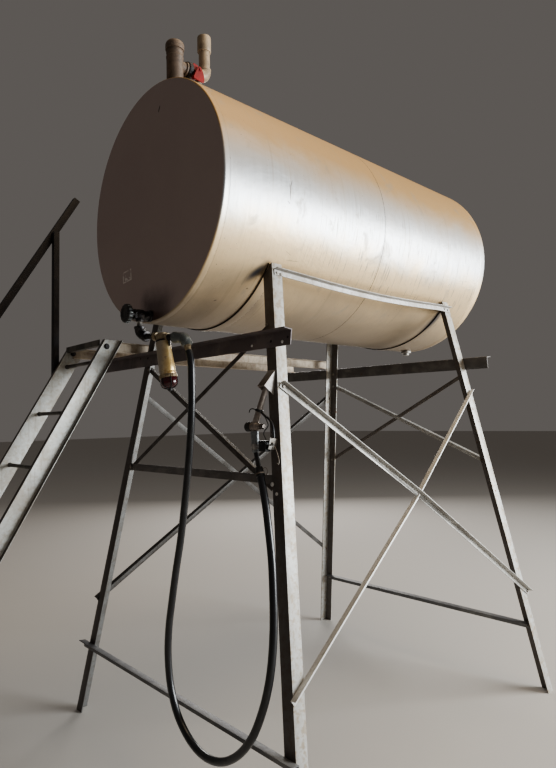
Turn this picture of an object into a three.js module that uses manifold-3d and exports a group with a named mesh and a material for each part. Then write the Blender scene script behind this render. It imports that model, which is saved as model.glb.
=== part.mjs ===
// Elevated horizontal fuel tank on a splayed angle-iron stand, with its ladder, filter, hose and nozzle.
// Millimetres, +Z up, floor at z = 0. The tank lies along X with its flat front end at the low X side;
// -Y is the side with the braced, open face of the stand and +Y the side with the ladder.
import * as THREE from "three";
import { mergeVertices } from "three/addons/utils/BufferGeometryUtils.js";
import Module from "manifold-3d";

const wasm = await Module();
wasm.setup();
const { Manifold } = wasm;

const TAU = Math.PI * 2;
const SEAT = 0.3; // the gap left between two pieces that touch

// Tank
const TANK_R = 610;
const TANK_LENGTH = 2320;
const TANK_WALL = 4;
const TANK_AXIS_Z = 2835;
const SEAM_X = 1150;
const FRONT_FLANGE = 34;
const REAR_FLANGE = 80;
const FRONT_KNUCKLE = 9;
const REAR_KNUCKLE = 30;

// Stand: four legs of one angle section, splayed both ways, with their heels at the outer corners
const STAND_MID_X = 1154;
const TANK_BOTTOM_Z = TANK_AXIS_Z - TANK_R;
const HALF_X = 830; // heel to mid-plane at the height of the tank's underside
const HALF_Y = 559;
const SPLAY_X = 0.1282; // outward run of a heel per unit of drop
const SPLAY_Y = 0.1794;
const LEG_TOP_Z = 2482;
const LEG_WIDTH = 65;
const LEG_T = 6;

// Ladder
const LADDER_TOP_Z = 2212;
const LADDER_TOP_X = 46; // front edge of the stringers at their top
const LADDER_SLOPE = Math.sqrt(3);
const LADDER_NEAR_Y = 620;
const LADDER_FAR_Y = 1089;
const STRINGER_DEPTH = 100;
const STRINGER_FLANGE = 32;
const STRINGER_T = 4;

const steel = (name, color, roughness, metalness) =>
  new THREE.MeshStandardMaterial({ name, color, roughness, metalness });
const tankPaint = steel("tank_paint", 0xb9b0a2, 0.42, 0.55);
const galvanised = steel("galvanised", 0xb4b3ad, 0.5, 0.7);
const darkSteel = steel("dark_steel", 0x3a3431, 0.6, 0.5);
const railSteel = steel("rail_steel", 0x14141a, 0.5, 0.3);
const blackIron = steel("black_iron", 0x1d1b1c, 0.5, 0.6);
const brass = steel("brass", 0xb08a4a, 0.35, 0.9);
const bowlRed = steel("bowl", 0x4a1016, 0.2, 0.1);
const hoseBlack = steel("hose_black", 0x15161a, 0.55, 0.0);
const redPaint = steel("red_paint", 0x8f1d22, 0.45, 0.2);
const pipeGrey = steel("pipe_grey", 0x8c857a, 0.5, 0.3);
const castMetal = steel("cast_metal", 0x8a7f78, 0.45, 0.7);

const v3 = (x, y, z) => new THREE.Vector3(x, y, z);

function solidOf(geometry) {
  const plain = geometry.index ? geometry.toNonIndexed() : geometry;
  const bare = new THREE.BufferGeometry();
  bare.setAttribute("position", plain.getAttribute("position"));
  const merged = mergeVertices(bare, 1e-3);
  return new Manifold(
    new wasm.Mesh({
      numProp: 3,
      vertProperties: merged.attributes.position.array,
      triVerts: new Uint32Array(merged.index.array),
    }),
  );
}

function geometryOf(solid) {
  const mesh = solid.getMesh();
  const geometry = new THREE.BufferGeometry();
  geometry.setAttribute("position", new THREE.BufferAttribute(mesh.vertProperties, 3));
  geometry.setIndex(new THREE.BufferAttribute(mesh.triVerts, 1));
  const flat = geometry.toNonIndexed();
  flat.computeVertexNormals();
  return flat;
}

const join = (...geometries) =>
  geometryOf(geometries.map(solidOf).reduce((whole, next) => whole.add(next)));

const cut = (body, ...tools) =>
  geometryOf(tools.map(solidOf).reduce((left, tool) => left.subtract(tool), solidOf(body)));

function polygon(points) {
  const shape = new THREE.Shape();
  points.forEach(([x, y], i) => (i ? shape.lineTo(x, y) : shape.moveTo(x, y)));
  return shape;
}

const prism = (points, depth) =>
  new THREE.ExtrudeGeometry(polygon(points), { depth, bevelEnabled: false });

// A straight member from one point to another. The section is drawn with its first axis across the
// member and its second axis along the outward direction.
function memberGeometry(section, from, to, out) {
  const along = to.clone().sub(from);
  const length = along.length();
  along.normalize();
  const normal = out.clone().addScaledVector(along, -out.dot(along)).normalize();
  const across = normal.clone().cross(along);
  const frame = new THREE.Matrix4().makeBasis(across, normal, along).setPosition(from);
  return prism(section, length).applyMatrix4(frame);
}

// An angle section: one flange flat on the frame, the other standing out from its upper edge.
function angleSection(width, stand, t, base) {
  const half = width / 2;
  return [
    [-half, base],
    [half, base],
    [half, base + stand],
    [half - t, base + stand],
    [half - t, base + t],
    [-half, base + t],
  ];
}

// An angle member whose standing flange is on its upper edge, whichever way its ends are given.
function angleMember({ from, to, out, width, stand, t, base = SEAT }) {
  const along = to.clone().sub(from);
  const up = out.clone().cross(along).z;
  const [a, b] = up < 0 ? [to, from] : [from, to];
  return memberGeometry(angleSection(width, stand, t, base), a, b, out);
}

// Round bar or pipe between two points.
function rod(from, to, radius, sides = 12) {
  const along = to.clone().sub(from);
  const geometry = new THREE.CylinderGeometry(radius, radius, along.length(), sides);
  const turn = new THREE.Quaternion().setFromUnitVectors(v3(0, 1, 0), along.clone().normalize());
  const mid = from.clone().add(to).multiplyScalar(0.5);
  return geometry.applyMatrix4(new THREE.Matrix4().compose(mid, turn, v3(1, 1, 1)));
}

// A turned piece: radius and height pairs about +Z, laid along a direction from a start point.
function turned(profile, start, direction, segments = 24) {
  const points = profile.map(([r, h]) => new THREE.Vector2(r, h));
  const turn = new THREE.Quaternion().setFromUnitVectors(v3(0, 1, 0), direction.clone().normalize());
  return new THREE.LatheGeometry(points, segments).applyMatrix4(
    new THREE.Matrix4().compose(start, turn, v3(1, 1, 1)),
  );
}

// A tube along a curve.
function tube(curve, radius, steps, sides = 10) {
  const ring = [];
  for (let i = 0; i < sides; i += 1) {
    ring.push([radius * Math.cos((i / sides) * TAU), radius * Math.sin((i / sides) * TAU)]);
  }
  return new THREE.ExtrudeGeometry(polygon(ring), { steps, extrudePath: curve, bevelEnabled: false });
}

const heelX = (z) => HALF_X + SPLAY_X * (TANK_BOTTOM_Z - z);
const heelY = (z) => HALF_Y + SPLAY_Y * (TANK_BOTTOM_Z - z);

// The four sloping faces of the stand, each with a point maker and its outward direction.
const FRONT = {
  at: (y, z) => v3(STAND_MID_X - heelX(z), y, z),
  out: v3(-1, 0, SPLAY_X).normalize(),
};
const REAR = {
  at: (y, z) => v3(STAND_MID_X + heelX(z), y, z),
  out: v3(1, 0, SPLAY_X).normalize(),
};
const NEAR = {
  at: (x, z) => v3(x, -heelY(z), z),
  out: v3(0, -1, SPLAY_Y).normalize(),
};
const FAR = {
  at: (x, z) => v3(x, heelY(z), z),
  out: v3(0, 1, SPLAY_Y).normalize(),
};

const group = new THREE.Group();
group.name = "elevated_fuel_tank";

function add(name, geometry, material) {
  const mesh = new THREE.Mesh(geometry, material);
  mesh.name = name;
  group.add(mesh);
  return mesh;
}

// Tank courses and flanged ends
function course(name, x0, x1) {
  const ring = [
    [TANK_R - TANK_WALL, 0],
    [TANK_R, 0],
    [TANK_R, x1 - x0],
    [TANK_R - TANK_WALL, x1 - x0],
    [TANK_R - TANK_WALL, 0],
  ];
  add(name, turned(ring, v3(x0, 0, TANK_AXIS_Z), v3(1, 0, 0), 96), tankPaint);
}

function endProfile(knuckle, flange) {
  const outer = [];
  const inner = [];
  const steps = 5;
  const thin = knuckle - TANK_WALL;
  for (let i = 0; i <= steps; i += 1) {
    const a = (i / steps) * (Math.PI / 2);
    const bend = [Math.sin(a), 1 - Math.cos(a)];
    outer.push([TANK_R - knuckle + knuckle * bend[0], knuckle * bend[1]]);
    inner.unshift([TANK_R - knuckle + thin * bend[0], TANK_WALL + thin * bend[1]]);
  }
  return [
    [0, 0],
    ...outer,
    [TANK_R, flange],
    [TANK_R - TANK_WALL, flange],
    ...inner,
    [0, TANK_WALL],
  ];
}

course("tank_course_front", FRONT_FLANGE + SEAT, SEAM_X);
course("tank_course_rear", SEAM_X + SEAT, TANK_LENGTH - REAR_FLANGE - SEAT);
add(
  "tank_end_front",
  turned(endProfile(FRONT_KNUCKLE, FRONT_FLANGE), v3(0, 0, TANK_AXIS_Z), v3(1, 0, 0), 96),
  tankPaint,
);
add(
  "tank_end_rear",
  turned(endProfile(REAR_KNUCKLE, REAR_FLANGE), v3(TANK_LENGTH, 0, TANK_AXIS_Z), v3(-1, 0, 0), 96),
  tankPaint,
);
const DRAIN_X = 2200;
add(
  "drain_boss",
  turned(
    [
      [0, 0],
      [22, 0],
      [22, 16],
      [38, 16],
      [38, 34],
      [0, 34],
    ],
    v3(DRAIN_X, 0, TANK_BOTTOM_Z - 34 - SEAT),
    v3(0, 0, 1),
    20,
  ),
  tankPaint,
);

// Legs: the angle's section is kept level and slid along the sloping heel, then coped round the tank.
const COPE_R = TANK_R + 6.9;
function legGeometry(sideX, sideY) {
  const section = [
    [0, 0],
    [LEG_WIDTH, 0],
    [LEG_WIDTH, LEG_T],
    [LEG_T, LEG_T],
    [LEG_T, LEG_WIDTH],
    [0, LEG_WIDTH],
  ].map(([x, y]) => [-sideX * x, -sideY * y]);
  if (sideX * sideY < 0) {
    section.reverse();
  }
  const foot = v3(STAND_MID_X + sideX * heelX(0), sideY * heelY(0), 0);
  const slide = new THREE.Matrix4().set(
    1, 0, -sideX * SPLAY_X, foot.x,
    0, 1, -sideY * SPLAY_Y, foot.y,
    0, 0, 1, 0,
    0, 0, 0, 1,
  );
  const leg = prism(section, LEG_TOP_Z).applyMatrix4(slide);
  const clear = rod(
    v3(-50, 0, TANK_AXIS_Z),
    v3(TANK_LENGTH + 50, 0, TANK_AXIS_Z),
    COPE_R,
    180,
  );
  return cut(leg, clear);
}
add("leg_front_near", legGeometry(-1, -1), galvanised);
add("leg_front_far", legGeometry(-1, 1), galvanised);
add("leg_rear_near", legGeometry(1, -1), galvanised);
add("leg_rear_far", legGeometry(1, 1), galvanised);

// Saddle straps bent round the tank's underside, from leg top to leg top
const STRAP_R = TANK_R + 0.4;
const STRAP_T = 6;
const STRAP_WIDTH = 60;
function saddle(name, x) {
  const top = Math.asin((TANK_AXIS_Z - LEG_TOP_Z) / TANK_R);
  const band = new THREE.Shape();
  band.absarc(0, 0, STRAP_R + STRAP_T, top, Math.PI - top, false);
  band.absarc(0, 0, STRAP_R, Math.PI - top, top, true);
  const geometry = new THREE.ExtrudeGeometry(band, {
    depth: STRAP_WIDTH,
    bevelEnabled: false,
    curveSegments: 36,
  });
  const down = new THREE.Matrix4().makeBasis(v3(0, 1, 0), v3(0, 0, -1), v3(-1, 0, 0));
  geometry.applyMatrix4(down.setPosition(x + STRAP_WIDTH, 0, TANK_AXIS_Z));
  add(name, geometry, galvanised);
}
saddle("saddle_front", 347);
saddle("saddle_rear", 1940);

// Top rails: light angles along each side, bowed a little at mid-span
const RAIL_SIZE = 30;
const RAIL_T = 4;
function topRail(name, side, bow) {
  const x0 = 362;
  const x1 = 1946;
  const z = 2436;
  const steps = 12;
  const band = (low, high) => {
    const lower = [];
    const upper = [];
    for (let i = 0; i <= steps; i += 1) {
      const u = i / steps;
      const x = x0 + (x1 - x0) * u;
      const sag = -bow * Math.sin(Math.PI * Math.min(1, u * 1.08)) - 8 * u;
      lower.push([x, sag + low]);
      upper.unshift([x, sag + high]);
    }
    return [...lower, ...upper];
  };
  const face = NEAR.out.clone();
  const slant = v3(0, SPLAY_Y, 1).normalize();
  const frame = (depthFrom) =>
    new THREE.Matrix4()
      .makeBasis(v3(1, 0, 0), slant, face)
      .setPosition(NEAR.at(0, z).addScaledVector(face, depthFrom));
  const web = prism(band(-RAIL_SIZE / 2, RAIL_SIZE / 2), RAIL_T).applyMatrix4(frame(SEAT));
  const flange = prism(band(RAIL_SIZE / 2 - RAIL_T, RAIL_SIZE / 2), RAIL_SIZE).applyMatrix4(
    frame(SEAT),
  );
  const rail = join(web, flange);
  if (side > 0) {
    const mirrored = solidOf(rail).mirror([0, 1, 0]);
    add(name, geometryOf(mirrored), galvanised);
  } else {
    add(name, rail, galvanised);
  }
}
topRail("top_rail_near", -1, 24);
topRail("top_rail_far", 1, 6);

// Cross-beams: heavier angles on the outside of the front and rear faces. They run past the far legs
// and carry the two long bearers there.
const BEAM_WEB = 75;
const BEAM_FLANGE = 50;
const BEAM_T = 6;
const BEAM_FRONT_MID_Z = 2058 + BEAM_WEB / 2;
add(
  "cross_beam_front",
  angleMember({
    from: FRONT.at(-690, BEAM_FRONT_MID_Z),
    to: FRONT.at(1095, BEAM_FRONT_MID_Z),
    out: FRONT.out,
    width: BEAM_WEB,
    stand: BEAM_FLANGE,
    t: BEAM_T,
  }),
  darkSteel,
);
const BEAM_REAR_NEAR_Z = 2026 + BEAM_WEB / 2;
const BEAM_REAR_FAR_Z = 2049 + BEAM_WEB / 2;
add(
  "cross_beam_rear",
  angleMember({
    from: REAR.at(-750, BEAM_REAR_NEAR_Z),
    to: REAR.at(1110, BEAM_REAR_FAR_Z),
    out: REAR.out,
    width: BEAM_WEB,
    stand: BEAM_FLANGE,
    t: BEAM_T,
  }),
  darkSteel,
);

// Girts: level angles that tie the legs lower down
add(
  "girt_front_low",
  angleMember({
    from: FRONT.at(-905, 382),
    to: FRONT.at(948, 382),
    out: FRONT.out,
    width: 40,
    stand: 40,
    t: 4,
  }),
  galvanised,
);
add(
  "girt_rear_low",
  angleMember({
    from: REAR.at(-862, 388),
    to: REAR.at(862, 388),
    out: REAR.out.clone().negate(),
    width: 40,
    stand: 36,
    t: 4,
    base: LEG_T + SEAT,
  }),
  galvanised,
);

// Cross-braces. In each pair the under brace lies on the leg and the over brace is spaced off it by its
// end pads, so the two pass at the crossing; the under brace's standing flange is notched there.
function braceArms(points, out, size, t, base) {
  const arms = [];
  for (let i = 0; i + 1 < points.length; i += 1) {
    arms.push(
      angleMember({
        from: points[i],
        to: points[i + 1],
        out,
        width: size,
        stand: size,
        t,
        base,
      }),
    );
  }
  return arms;
}

function notchTool(points, out, size, base) {
  const tools = [];
  for (let i = 0; i + 1 < points.length; i += 1) {
    const half = size / 2 + 1;
    const box = [
      [-half, base],
      [half, base],
      [half, base + size + 3],
      [-half, base + size + 3],
    ];
    tools.push(memberGeometry(box, points[i], points[i + 1], out));
  }
  return tools;
}

// A round pad that fills the space between a surface at one height off the face and a brace at another.
function pad(spot, out, from, to, radius) {
  return rod(
    spot.clone().addScaledVector(out, from),
    spot.clone().addScaledVector(out, to),
    radius,
    16,
  );
}

const partWay = (from, to, distance) => from.clone().lerp(to, distance / from.distanceTo(to));

function crossBraces({ names, under, over, out, size, t, base = SEAT, underPads = [], overPads }) {
  const overBase = base + t + 0.4;
  const radius = size * 0.36;
  const padsOf = (list, top) => list.map(([spot, from]) => pad(spot, out, from, top + t / 2, radius));
  const last = over.length - 1;
  const ends = [
    [partWay(over[0], over[1], 20), base],
    [partWay(over[last], over[last - 1], 20), base],
  ];
  add(
    names[0],
    cut(
      join(...braceArms(under, out, size, t, base), ...padsOf(underPads, base)),
      ...notchTool(over, out, size, overBase - 0.2),
    ),
    galvanised,
  );
  add(
    names[1],
    join(...braceArms(over, out, size, t, overBase), ...padsOf(overPads ?? ends, overBase)),
    galvanised,
  );
}

const CROSSING = NEAR.at(1211, 1300);
crossBraces({
  names: ["brace_near_b", "brace_near_a"],
  under: [NEAR.at(2018, 1880), CROSSING, NEAR.at(112, 604)],
  over: [NEAR.at(292, 1882), CROSSING, NEAR.at(2212, 592)],
  out: NEAR.out,
  size: 30,
  t: 3,
});
crossBraces({
  names: ["brace_far_a", "brace_far_b"],
  under: [FAR.at(298, 1900), FAR.at(2188, 618)],
  over: [FAR.at(2020, 1896), FAR.at(120, 652)],
  out: FAR.out,
  size: 30,
  t: 3,
});
crossBraces({
  names: ["brace_rear_a", "brace_rear_b"],
  under: [REAR.at(590, 1990), REAR.at(-660, 1425)],
  over: [REAR.at(-590, 2005), REAR.at(690, 1380)],
  out: REAR.out,
  size: 25,
  t: 3,
});

// The front pair crosses the middle girt's web on its way down, so it is one layer further in and is
// fixed to the girt below and to the legs above.
const FRONT_IN = FRONT.out.clone().negate();
const LEG_BACK = LEG_T + SEAT;
const GIRT_T = 4;
const GIRT_MID_Z = 1458;
const FRONT_LAYER = LEG_BACK + GIRT_T + 0.4;
const frontUnder = [FRONT.at(560, 2046), FRONT.at(-628, 1418)];
const frontOver = [FRONT.at(-530, 2184), FRONT.at(655, 1446)];
const atGirt = ([top, foot]) => top.clone().lerp(foot, (top.z - GIRT_MID_Z) / (top.z - foot.z));
crossBraces({
  names: ["brace_front_a", "brace_front_b"],
  under: frontUnder,
  over: frontOver,
  out: FRONT_IN,
  size: 25,
  t: 3,
  base: FRONT_LAYER,
  underPads: [[partWay(...frontUnder, 20), LEG_BACK]],
  overPads: [
    [partWay(...frontOver, 20), LEG_BACK],
    [atGirt(frontOver), LEG_BACK + GIRT_T + SEAT],
  ],
});
add(
  "girt_front_mid",
  cut(
    angleMember({
      from: FRONT.at(-655, GIRT_MID_Z),
      to: FRONT.at(650, GIRT_MID_Z),
      out: FRONT_IN,
      width: 40,
      stand: 36,
      t: GIRT_T,
      base: LEG_BACK,
    }),
    ...notchTool(frontUnder, FRONT_IN, 27, FRONT_LAYER - 0.2),
    ...notchTool(frontOver, FRONT_IN, 27, FRONT_LAYER - 0.2),
  ),
  darkSteel,
);

// Long bearers of the far-side walkway: channels that rest on the two cross-beams
const BEARER_DEPTH = 62;
const BEARER_FLANGE = 28;
const BEARER_T = 4;
function bearer(name, webY, x0, frontZ, rearZ) {
  const section = [
    [0, 0],
    [BEARER_FLANGE, 0],
    [BEARER_FLANGE, BEARER_T],
    [BEARER_T, BEARER_T],
    [BEARER_T, BEARER_DEPTH - BEARER_T],
    [BEARER_FLANGE, BEARER_DEPTH - BEARER_T],
    [BEARER_FLANGE, BEARER_DEPTH],
    [0, BEARER_DEPTH],
  ];
  const x1 = 2062;
  const fall = (rearZ - frontZ) / (2047 - 262);
  const from = v3(x0, webY, frontZ + fall * (x0 - 262));
  const to = v3(x1, webY, frontZ + fall * (x1 - 262));
  const along = to.clone().sub(from).normalize();
  const side = v3(0, -1, 0);
  const up = along.clone().cross(side).negate();
  const frame = new THREE.Matrix4().makeBasis(side, up, side.clone().cross(up)).setPosition(to);
  const length = from.distanceTo(to);
  const geometry = prism(section, length).applyMatrix4(frame);
  add(name, geometry, galvanised);
}
const BEAM_RISE = BEAM_FLANGE * FRONT.out.z;
const BEAM_FRONT_TOP = 2058 + BEAM_WEB + BEAM_RISE;
const beamRearTop = (y) => 2026 + ((y + 750) / 1860) * 23 + BEAM_WEB + BEAM_RISE;
bearer("bearer_near", 652, 66, BEAM_FRONT_TOP, beamRearTop(638));
bearer("bearer_far", LADDER_FAR_Y - STRINGER_T - 1, 66, BEAM_FRONT_TOP, beamRearTop(1070));

// Ladder: channel stringers with level rungs between their webs
const stringerX = (z) => LADDER_TOP_X - (LADDER_TOP_Z - z) / LADDER_SLOPE;
const STRINGER_RUN = STRINGER_DEPTH / Math.sin(Math.atan(LADDER_SLOPE));
function stringer(name, y, side) {
  const flangeRun = STRINGER_T / Math.sin(Math.atan(LADDER_SLOPE));
  const slab = (a, b, depth) => {
    const outline = [
      [stringerX(0) + a, 0],
      [stringerX(0) + b, 0],
      [LADDER_TOP_X + b, LADDER_TOP_Z],
      [LADDER_TOP_X + a, LADDER_TOP_Z],
    ];
    const frame = new THREE.Matrix4().makeBasis(v3(1, 0, 0), v3(0, 0, 1), v3(0, -1, 0));
    return prism(outline, depth).applyMatrix4(frame.setPosition(0, y, 0));
  };
  const shift = (geometry, dy) => geometry.translate(0, dy, 0);
  const web = slab(0, STRINGER_RUN, STRINGER_T);
  const flanges = [
    slab(0, flangeRun, STRINGER_FLANGE),
    slab(STRINGER_RUN - flangeRun, STRINGER_RUN, STRINGER_FLANGE),
  ];
  if (side > 0) {
    shift(web, STRINGER_T);
    flanges.forEach((flange) => shift(flange, STRINGER_FLANGE));
  }
  add(name, join(web, ...flanges), galvanised);
}
// the near stringer's web spans y 620 to 624 and its flanges point to -Y; the far one mirrors it
stringer("ladder_stringer_near", LADDER_NEAR_Y + STRINGER_T, -1);
stringer("ladder_stringer_far", LADDER_FAR_Y - STRINGER_T, 1);

const RUNG_PITCH = 300;
const RUNG_COUNT = 7;
const RUNG_R = 11;
const INNER_NEAR = LADDER_NEAR_Y + STRINGER_T + SEAT;
const INNER_FAR = LADDER_FAR_Y - STRINGER_T - SEAT;
for (let i = 0; i < RUNG_COUNT; i += 1) {
  const z = 285 + i * RUNG_PITCH;
  const x = stringerX(z) + STRINGER_RUN / 2;
  add(`rung_${i + 1}`, rod(v3(x, INNER_NEAR, z), v3(x, INNER_FAR, z), RUNG_R, 10), darkSteel);
}
const LANDING_Z = 2176;
add(
  "ladder_top_bar",
  memberGeometry(
    [
      [0, 0],
      [34, 0],
      [34, 4],
      [4, 4],
      [4, 34],
      [0, 34],
    ],
    v3(24, INNER_FAR, LANDING_Z),
    v3(24, INNER_NEAR, LANDING_Z),
    v3(0, 0, 1),
  ),
  darkSteel,
);

// Handrail on the ladder's far side
const RAIL_Y = LADDER_FAR_Y + STRINGER_FLANGE - STRINGER_T + SEAT;
const HANDRAIL_SLOPE = 1.683;
const handrailZ = (x) => 3226 + (x - 128) * HANDRAIL_SLOPE;
function post(name, x, bottom, width) {
  const top = handrailZ(x);
  const section = [
    [0, 0],
    [width, 0],
    [width, 4],
    [4, 4],
    [4, width],
    [0, width],
  ];
  const geometry = prism(section, top - bottom);
  geometry.translate(x - width / 2, RAIL_Y, bottom);
  add(name, geometry, railSteel);
}
post("handrail_post_upper", -27, 2010, 36);
post("handrail_post_lower", -960, 440, 36);
{
  const low = v3(-1080, RAIL_Y + 36 + SEAT, handrailZ(-1080));
  const high = v3(128, RAIL_Y + 36 + SEAT, handrailZ(128));
  const section = angleSection(42, 36, 4, 0);
  add("handrail", memberGeometry(section, high, low, v3(0, 1, 0)), railSteel);
}

// Top fittings: vent stub with cap, a side branch with a red valve, and the riser's lower end
const STUB_X = 152;
const STUB_R = 44.5;
const BRANCH_Z = 3632;
add(
  "vent_stub",
  join(
    rod(v3(STUB_X, 0, TANK_AXIS_Z + TANK_R + 1.9), v3(STUB_X, 0, 3706), STUB_R, 28),
    turned(
      [
        [0, 0],
        [62, 0],
        [62, 16],
        [54, 30],
        [0, 30],
      ],
      v3(STUB_X, 0, TANK_AXIS_Z + TANK_R + 0.4),
      v3(0, 0, 1),
      28,
    ),
    rod(v3(STUB_X, 0, BRANCH_Z), v3(STUB_X + 60, 0, BRANCH_Z), 32, 20),
    rod(v3(STUB_X + 58, 0, BRANCH_Z), v3(STUB_X + 70, 0, BRANCH_Z), 38, 24),
  ),
  pipeGrey,
);
add(
  "vent_cap",
  turned(
    [
      [0, 0],
      [50, 0],
      [50, 30],
      [46, 42],
      [33, 50],
      [0, 54],
    ],
    v3(STUB_X, 0, 3706 + SEAT),
    v3(0, 0, 1),
    28,
  ),
  pipeGrey,
);
const HANDLE_LEAF = [
  [234, 3570],
  [267, 3567],
  [306, 3563],
  [310, 3592],
  [304, 3618],
  [286, 3650],
  [273, 3650],
  [251, 3614],
];
const HANDLE_TAB = [
  [243, 3635],
  [262, 3626],
  [282, 3640],
  [279, 3662],
  [246, 3668],
];
const handlePlate = (outline, y, thickness) =>
  prism(outline, thickness).applyMatrix4(
    new THREE.Matrix4().makeBasis(v3(1, 0, 0), v3(0, 0, 1), v3(0, -1, 0)).setPosition(0, y, 0),
  );
add(
  "branch_valve",
  join(
    rod(v3(STUB_X + 70 + SEAT, 0, BRANCH_Z), v3(STUB_X + 98, 0, BRANCH_Z), 43, 24),
    rod(v3(STUB_X + 96, 0, BRANCH_Z), v3(STUB_X + 154, 0, BRANCH_Z), 28, 20),
    rod(v3(STUB_X + 128, 0, BRANCH_Z), v3(STUB_X + 128, -54, BRANCH_Z), 12, 14),
    handlePlate(HANDLE_LEAF, -45, 7),
    handlePlate(HANDLE_TAB, -30, 6),
  ),
  redPaint,
);
const RISER_X = 346;
const RISER_R = 30.5;
const RISER_BEND = 38;
const RISER_TOP_Z = 3867;
class RiserBend extends THREE.Curve {
  getPoint(t, target = new THREE.Vector3()) {
    const a = t * (Math.PI / 2);
    return target.set(
      RISER_X - RISER_BEND * (1 - Math.sin(a)),
      0,
      BRANCH_Z + RISER_BEND * (1 - Math.cos(a)),
    );
  }
}
add(
  "riser",
  cut(
    join(
      rod(v3(STUB_X + 154 + SEAT, 0, BRANCH_Z), v3(RISER_X - RISER_BEND + 2, 0, BRANCH_Z), 37, 20),
      tube(new RiserBend(), RISER_R + 5, 8, 20),
      rod(v3(RISER_X, 0, BRANCH_Z + RISER_BEND - 1), v3(RISER_X, 0, 3800), RISER_R, 20),
      rod(v3(RISER_X, 0, 3779), v3(RISER_X, 0, RISER_TOP_Z), 38, 24),
    ),
    rod(v3(RISER_X, 0, 3815), v3(RISER_X, 0, RISER_TOP_Z + 26), RISER_R, 24),
  ),
  pipeGrey,
);

// Outlet: angle valve on the front end, elbow, filter with bowl, hose elbow
const OUTLET = v3(0, 12, 2256);
const VALVE_X = -61;
add(
  "outlet_valve",
  join(
    turned(
      [
        [0, 0],
        [30, 0],
        [30, 12],
        [24, 16],
        [24, 34],
        [0, 34],
      ],
      OUTLET.clone().setX(-SEAT),
      v3(-1, 0, 0),
      20,
    ),
    rod(OUTLET.clone().setX(-30), OUTLET.clone().setX(VALVE_X), 24, 18),
    new THREE.SphereGeometry(28, 20, 14).translate(VALVE_X, OUTLET.y, OUTLET.z),
    turned(
      [
        [0, 0],
        [27, 0],
        [27, 14],
        [20, 16],
        [20, 30],
        [12, 36],
        [6, 37],
        [6, 56],
        [0, 56],
      ],
      OUTLET.clone().setX(VALVE_X - 22),
      v3(-1, 0, 0),
      18,
    ),
    rod(v3(VALVE_X, OUTLET.y, OUTLET.z), v3(VALVE_X, OUTLET.y, OUTLET.z - 34), 19, 18),
  ),
  blackIron,
);
const WHEEL_X = -133;
{
  const knob = turned(
    [
      [6.3, -12],
      [24, -12],
      [40, -16],
      [45, -13],
      [47, -6],
      [47, 6],
      [43, 11],
      [30, 12],
      [14, 8],
      [6.3, 8],
      [6.3, -12],
    ],
    OUTLET.clone().setX(WHEEL_X),
    v3(-1, 0, 0),
    32,
  );
  add("outlet_handwheel", knob, blackIron);
}

const RUN = v3(0.2604, -0.9655, -0.125).normalize(); // the pipe's direction past the filter
const ELBOW = v3(VALVE_X, OUTLET.y, 2151);
const along = (s, lift = 0) => ELBOW.clone().addScaledVector(RUN, s).add(v3(0, 0, lift));
class Bend extends THREE.Curve {
  // an arc that leaves start along ahead and turns to the direction exit
  constructor(start, ahead, exit, radius) {
    super();
    this.ahead = ahead;
    this.radius = radius;
    this.turn = ahead.angleTo(exit);
    this.inward = exit.clone().addScaledVector(ahead, -ahead.dot(exit)).normalize();
    this.centre = start.clone().addScaledVector(this.inward, radius);
  }
  getPoint(t, target = new THREE.Vector3()) {
    const a = t * this.turn;
    return target
      .copy(this.centre)
      .addScaledVector(this.inward, -this.radius * Math.cos(a))
      .addScaledVector(this.ahead, this.radius * Math.sin(a));
  }
}
const RUN_SIDE = v3(RUN.x, RUN.y, 0).normalize();
const DOWN = v3(0, 0, -1);
const ELBOW_REACH = 34;
add(
  "outlet_elbow",
  join(
    rod(v3(VALVE_X, OUTLET.y, OUTLET.z - 34 - SEAT), v3(VALVE_X, OUTLET.y, ELBOW.z + 44), 13.5, 16),
    rod(v3(VALVE_X, OUTLET.y, ELBOW.z + 46), v3(VALVE_X, OUTLET.y, ELBOW.z + ELBOW_REACH - 1), 27, 18),
    tube(new Bend(along(0, ELBOW_REACH), DOWN, RUN_SIDE, ELBOW_REACH), 24, 8, 16),
    rod(along(33), along(50), 27, 18),
    rod(along(48), along(98), 14, 16),
  ),
  blackIron,
);

const LEAN = v3(RUN_SIDE.x * 0.2, RUN_SIDE.y * 0.2, -1).normalize(); // the filter hangs askew
const FILTER_HEAD = along(151, -4);
const onFilter = (s) => FILTER_HEAD.clone().addScaledVector(LEAN, s);
const CAN_END = 186;
add(
  "filter",
  join(
    rod(onFilter(-20), onFilter(22), 33, 24),
    rod(along(98 + SEAT), along(192), 20, 18),
    turned(
      [
        [0, 0],
        [35, 0],
        [40, 165],
        [0, 165],
      ],
      onFilter(CAN_END - 165),
      LEAN,
      28,
    ),
  ),
  brass,
);
add(
  "filter_bowl",
  turned(
    [
      [0, 0],
      [44, 0],
      [44, 16],
      [41.5, 17],
      [41.5, 43],
      [36, 54],
      [22, 63],
      [10, 66],
      [8, 79],
      [0, 79],
    ],
    onFilter(CAN_END + SEAT),
    LEAN,
    28,
  ),
  bowlRed,
);
const HOSE_DROP = v3(RUN_SIDE.x * 0.35, RUN_SIDE.y * 0.35, -1).normalize();
const hoseBend = new Bend(along(272), RUN, HOSE_DROP, 40);
const BEND_END = hoseBend.getPoint(1);
const HOSE_START = BEND_END.clone().addScaledVector(HOSE_DROP, 40);
add(
  "hose_elbow",
  join(
    rod(along(192 + SEAT), along(232), 16, 18),
    rod(along(228), along(274), 25, 20),
    tube(hoseBend, 23, 10, 18),
    rod(
      BEND_END.clone().addScaledVector(HOSE_DROP, -3),
      BEND_END.clone().addScaledVector(HOSE_DROP, 12),
      25.5,
      20,
    ),
    rod(BEND_END, HOSE_START, 14, 16),
  ),
  castMetal,
);
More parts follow.
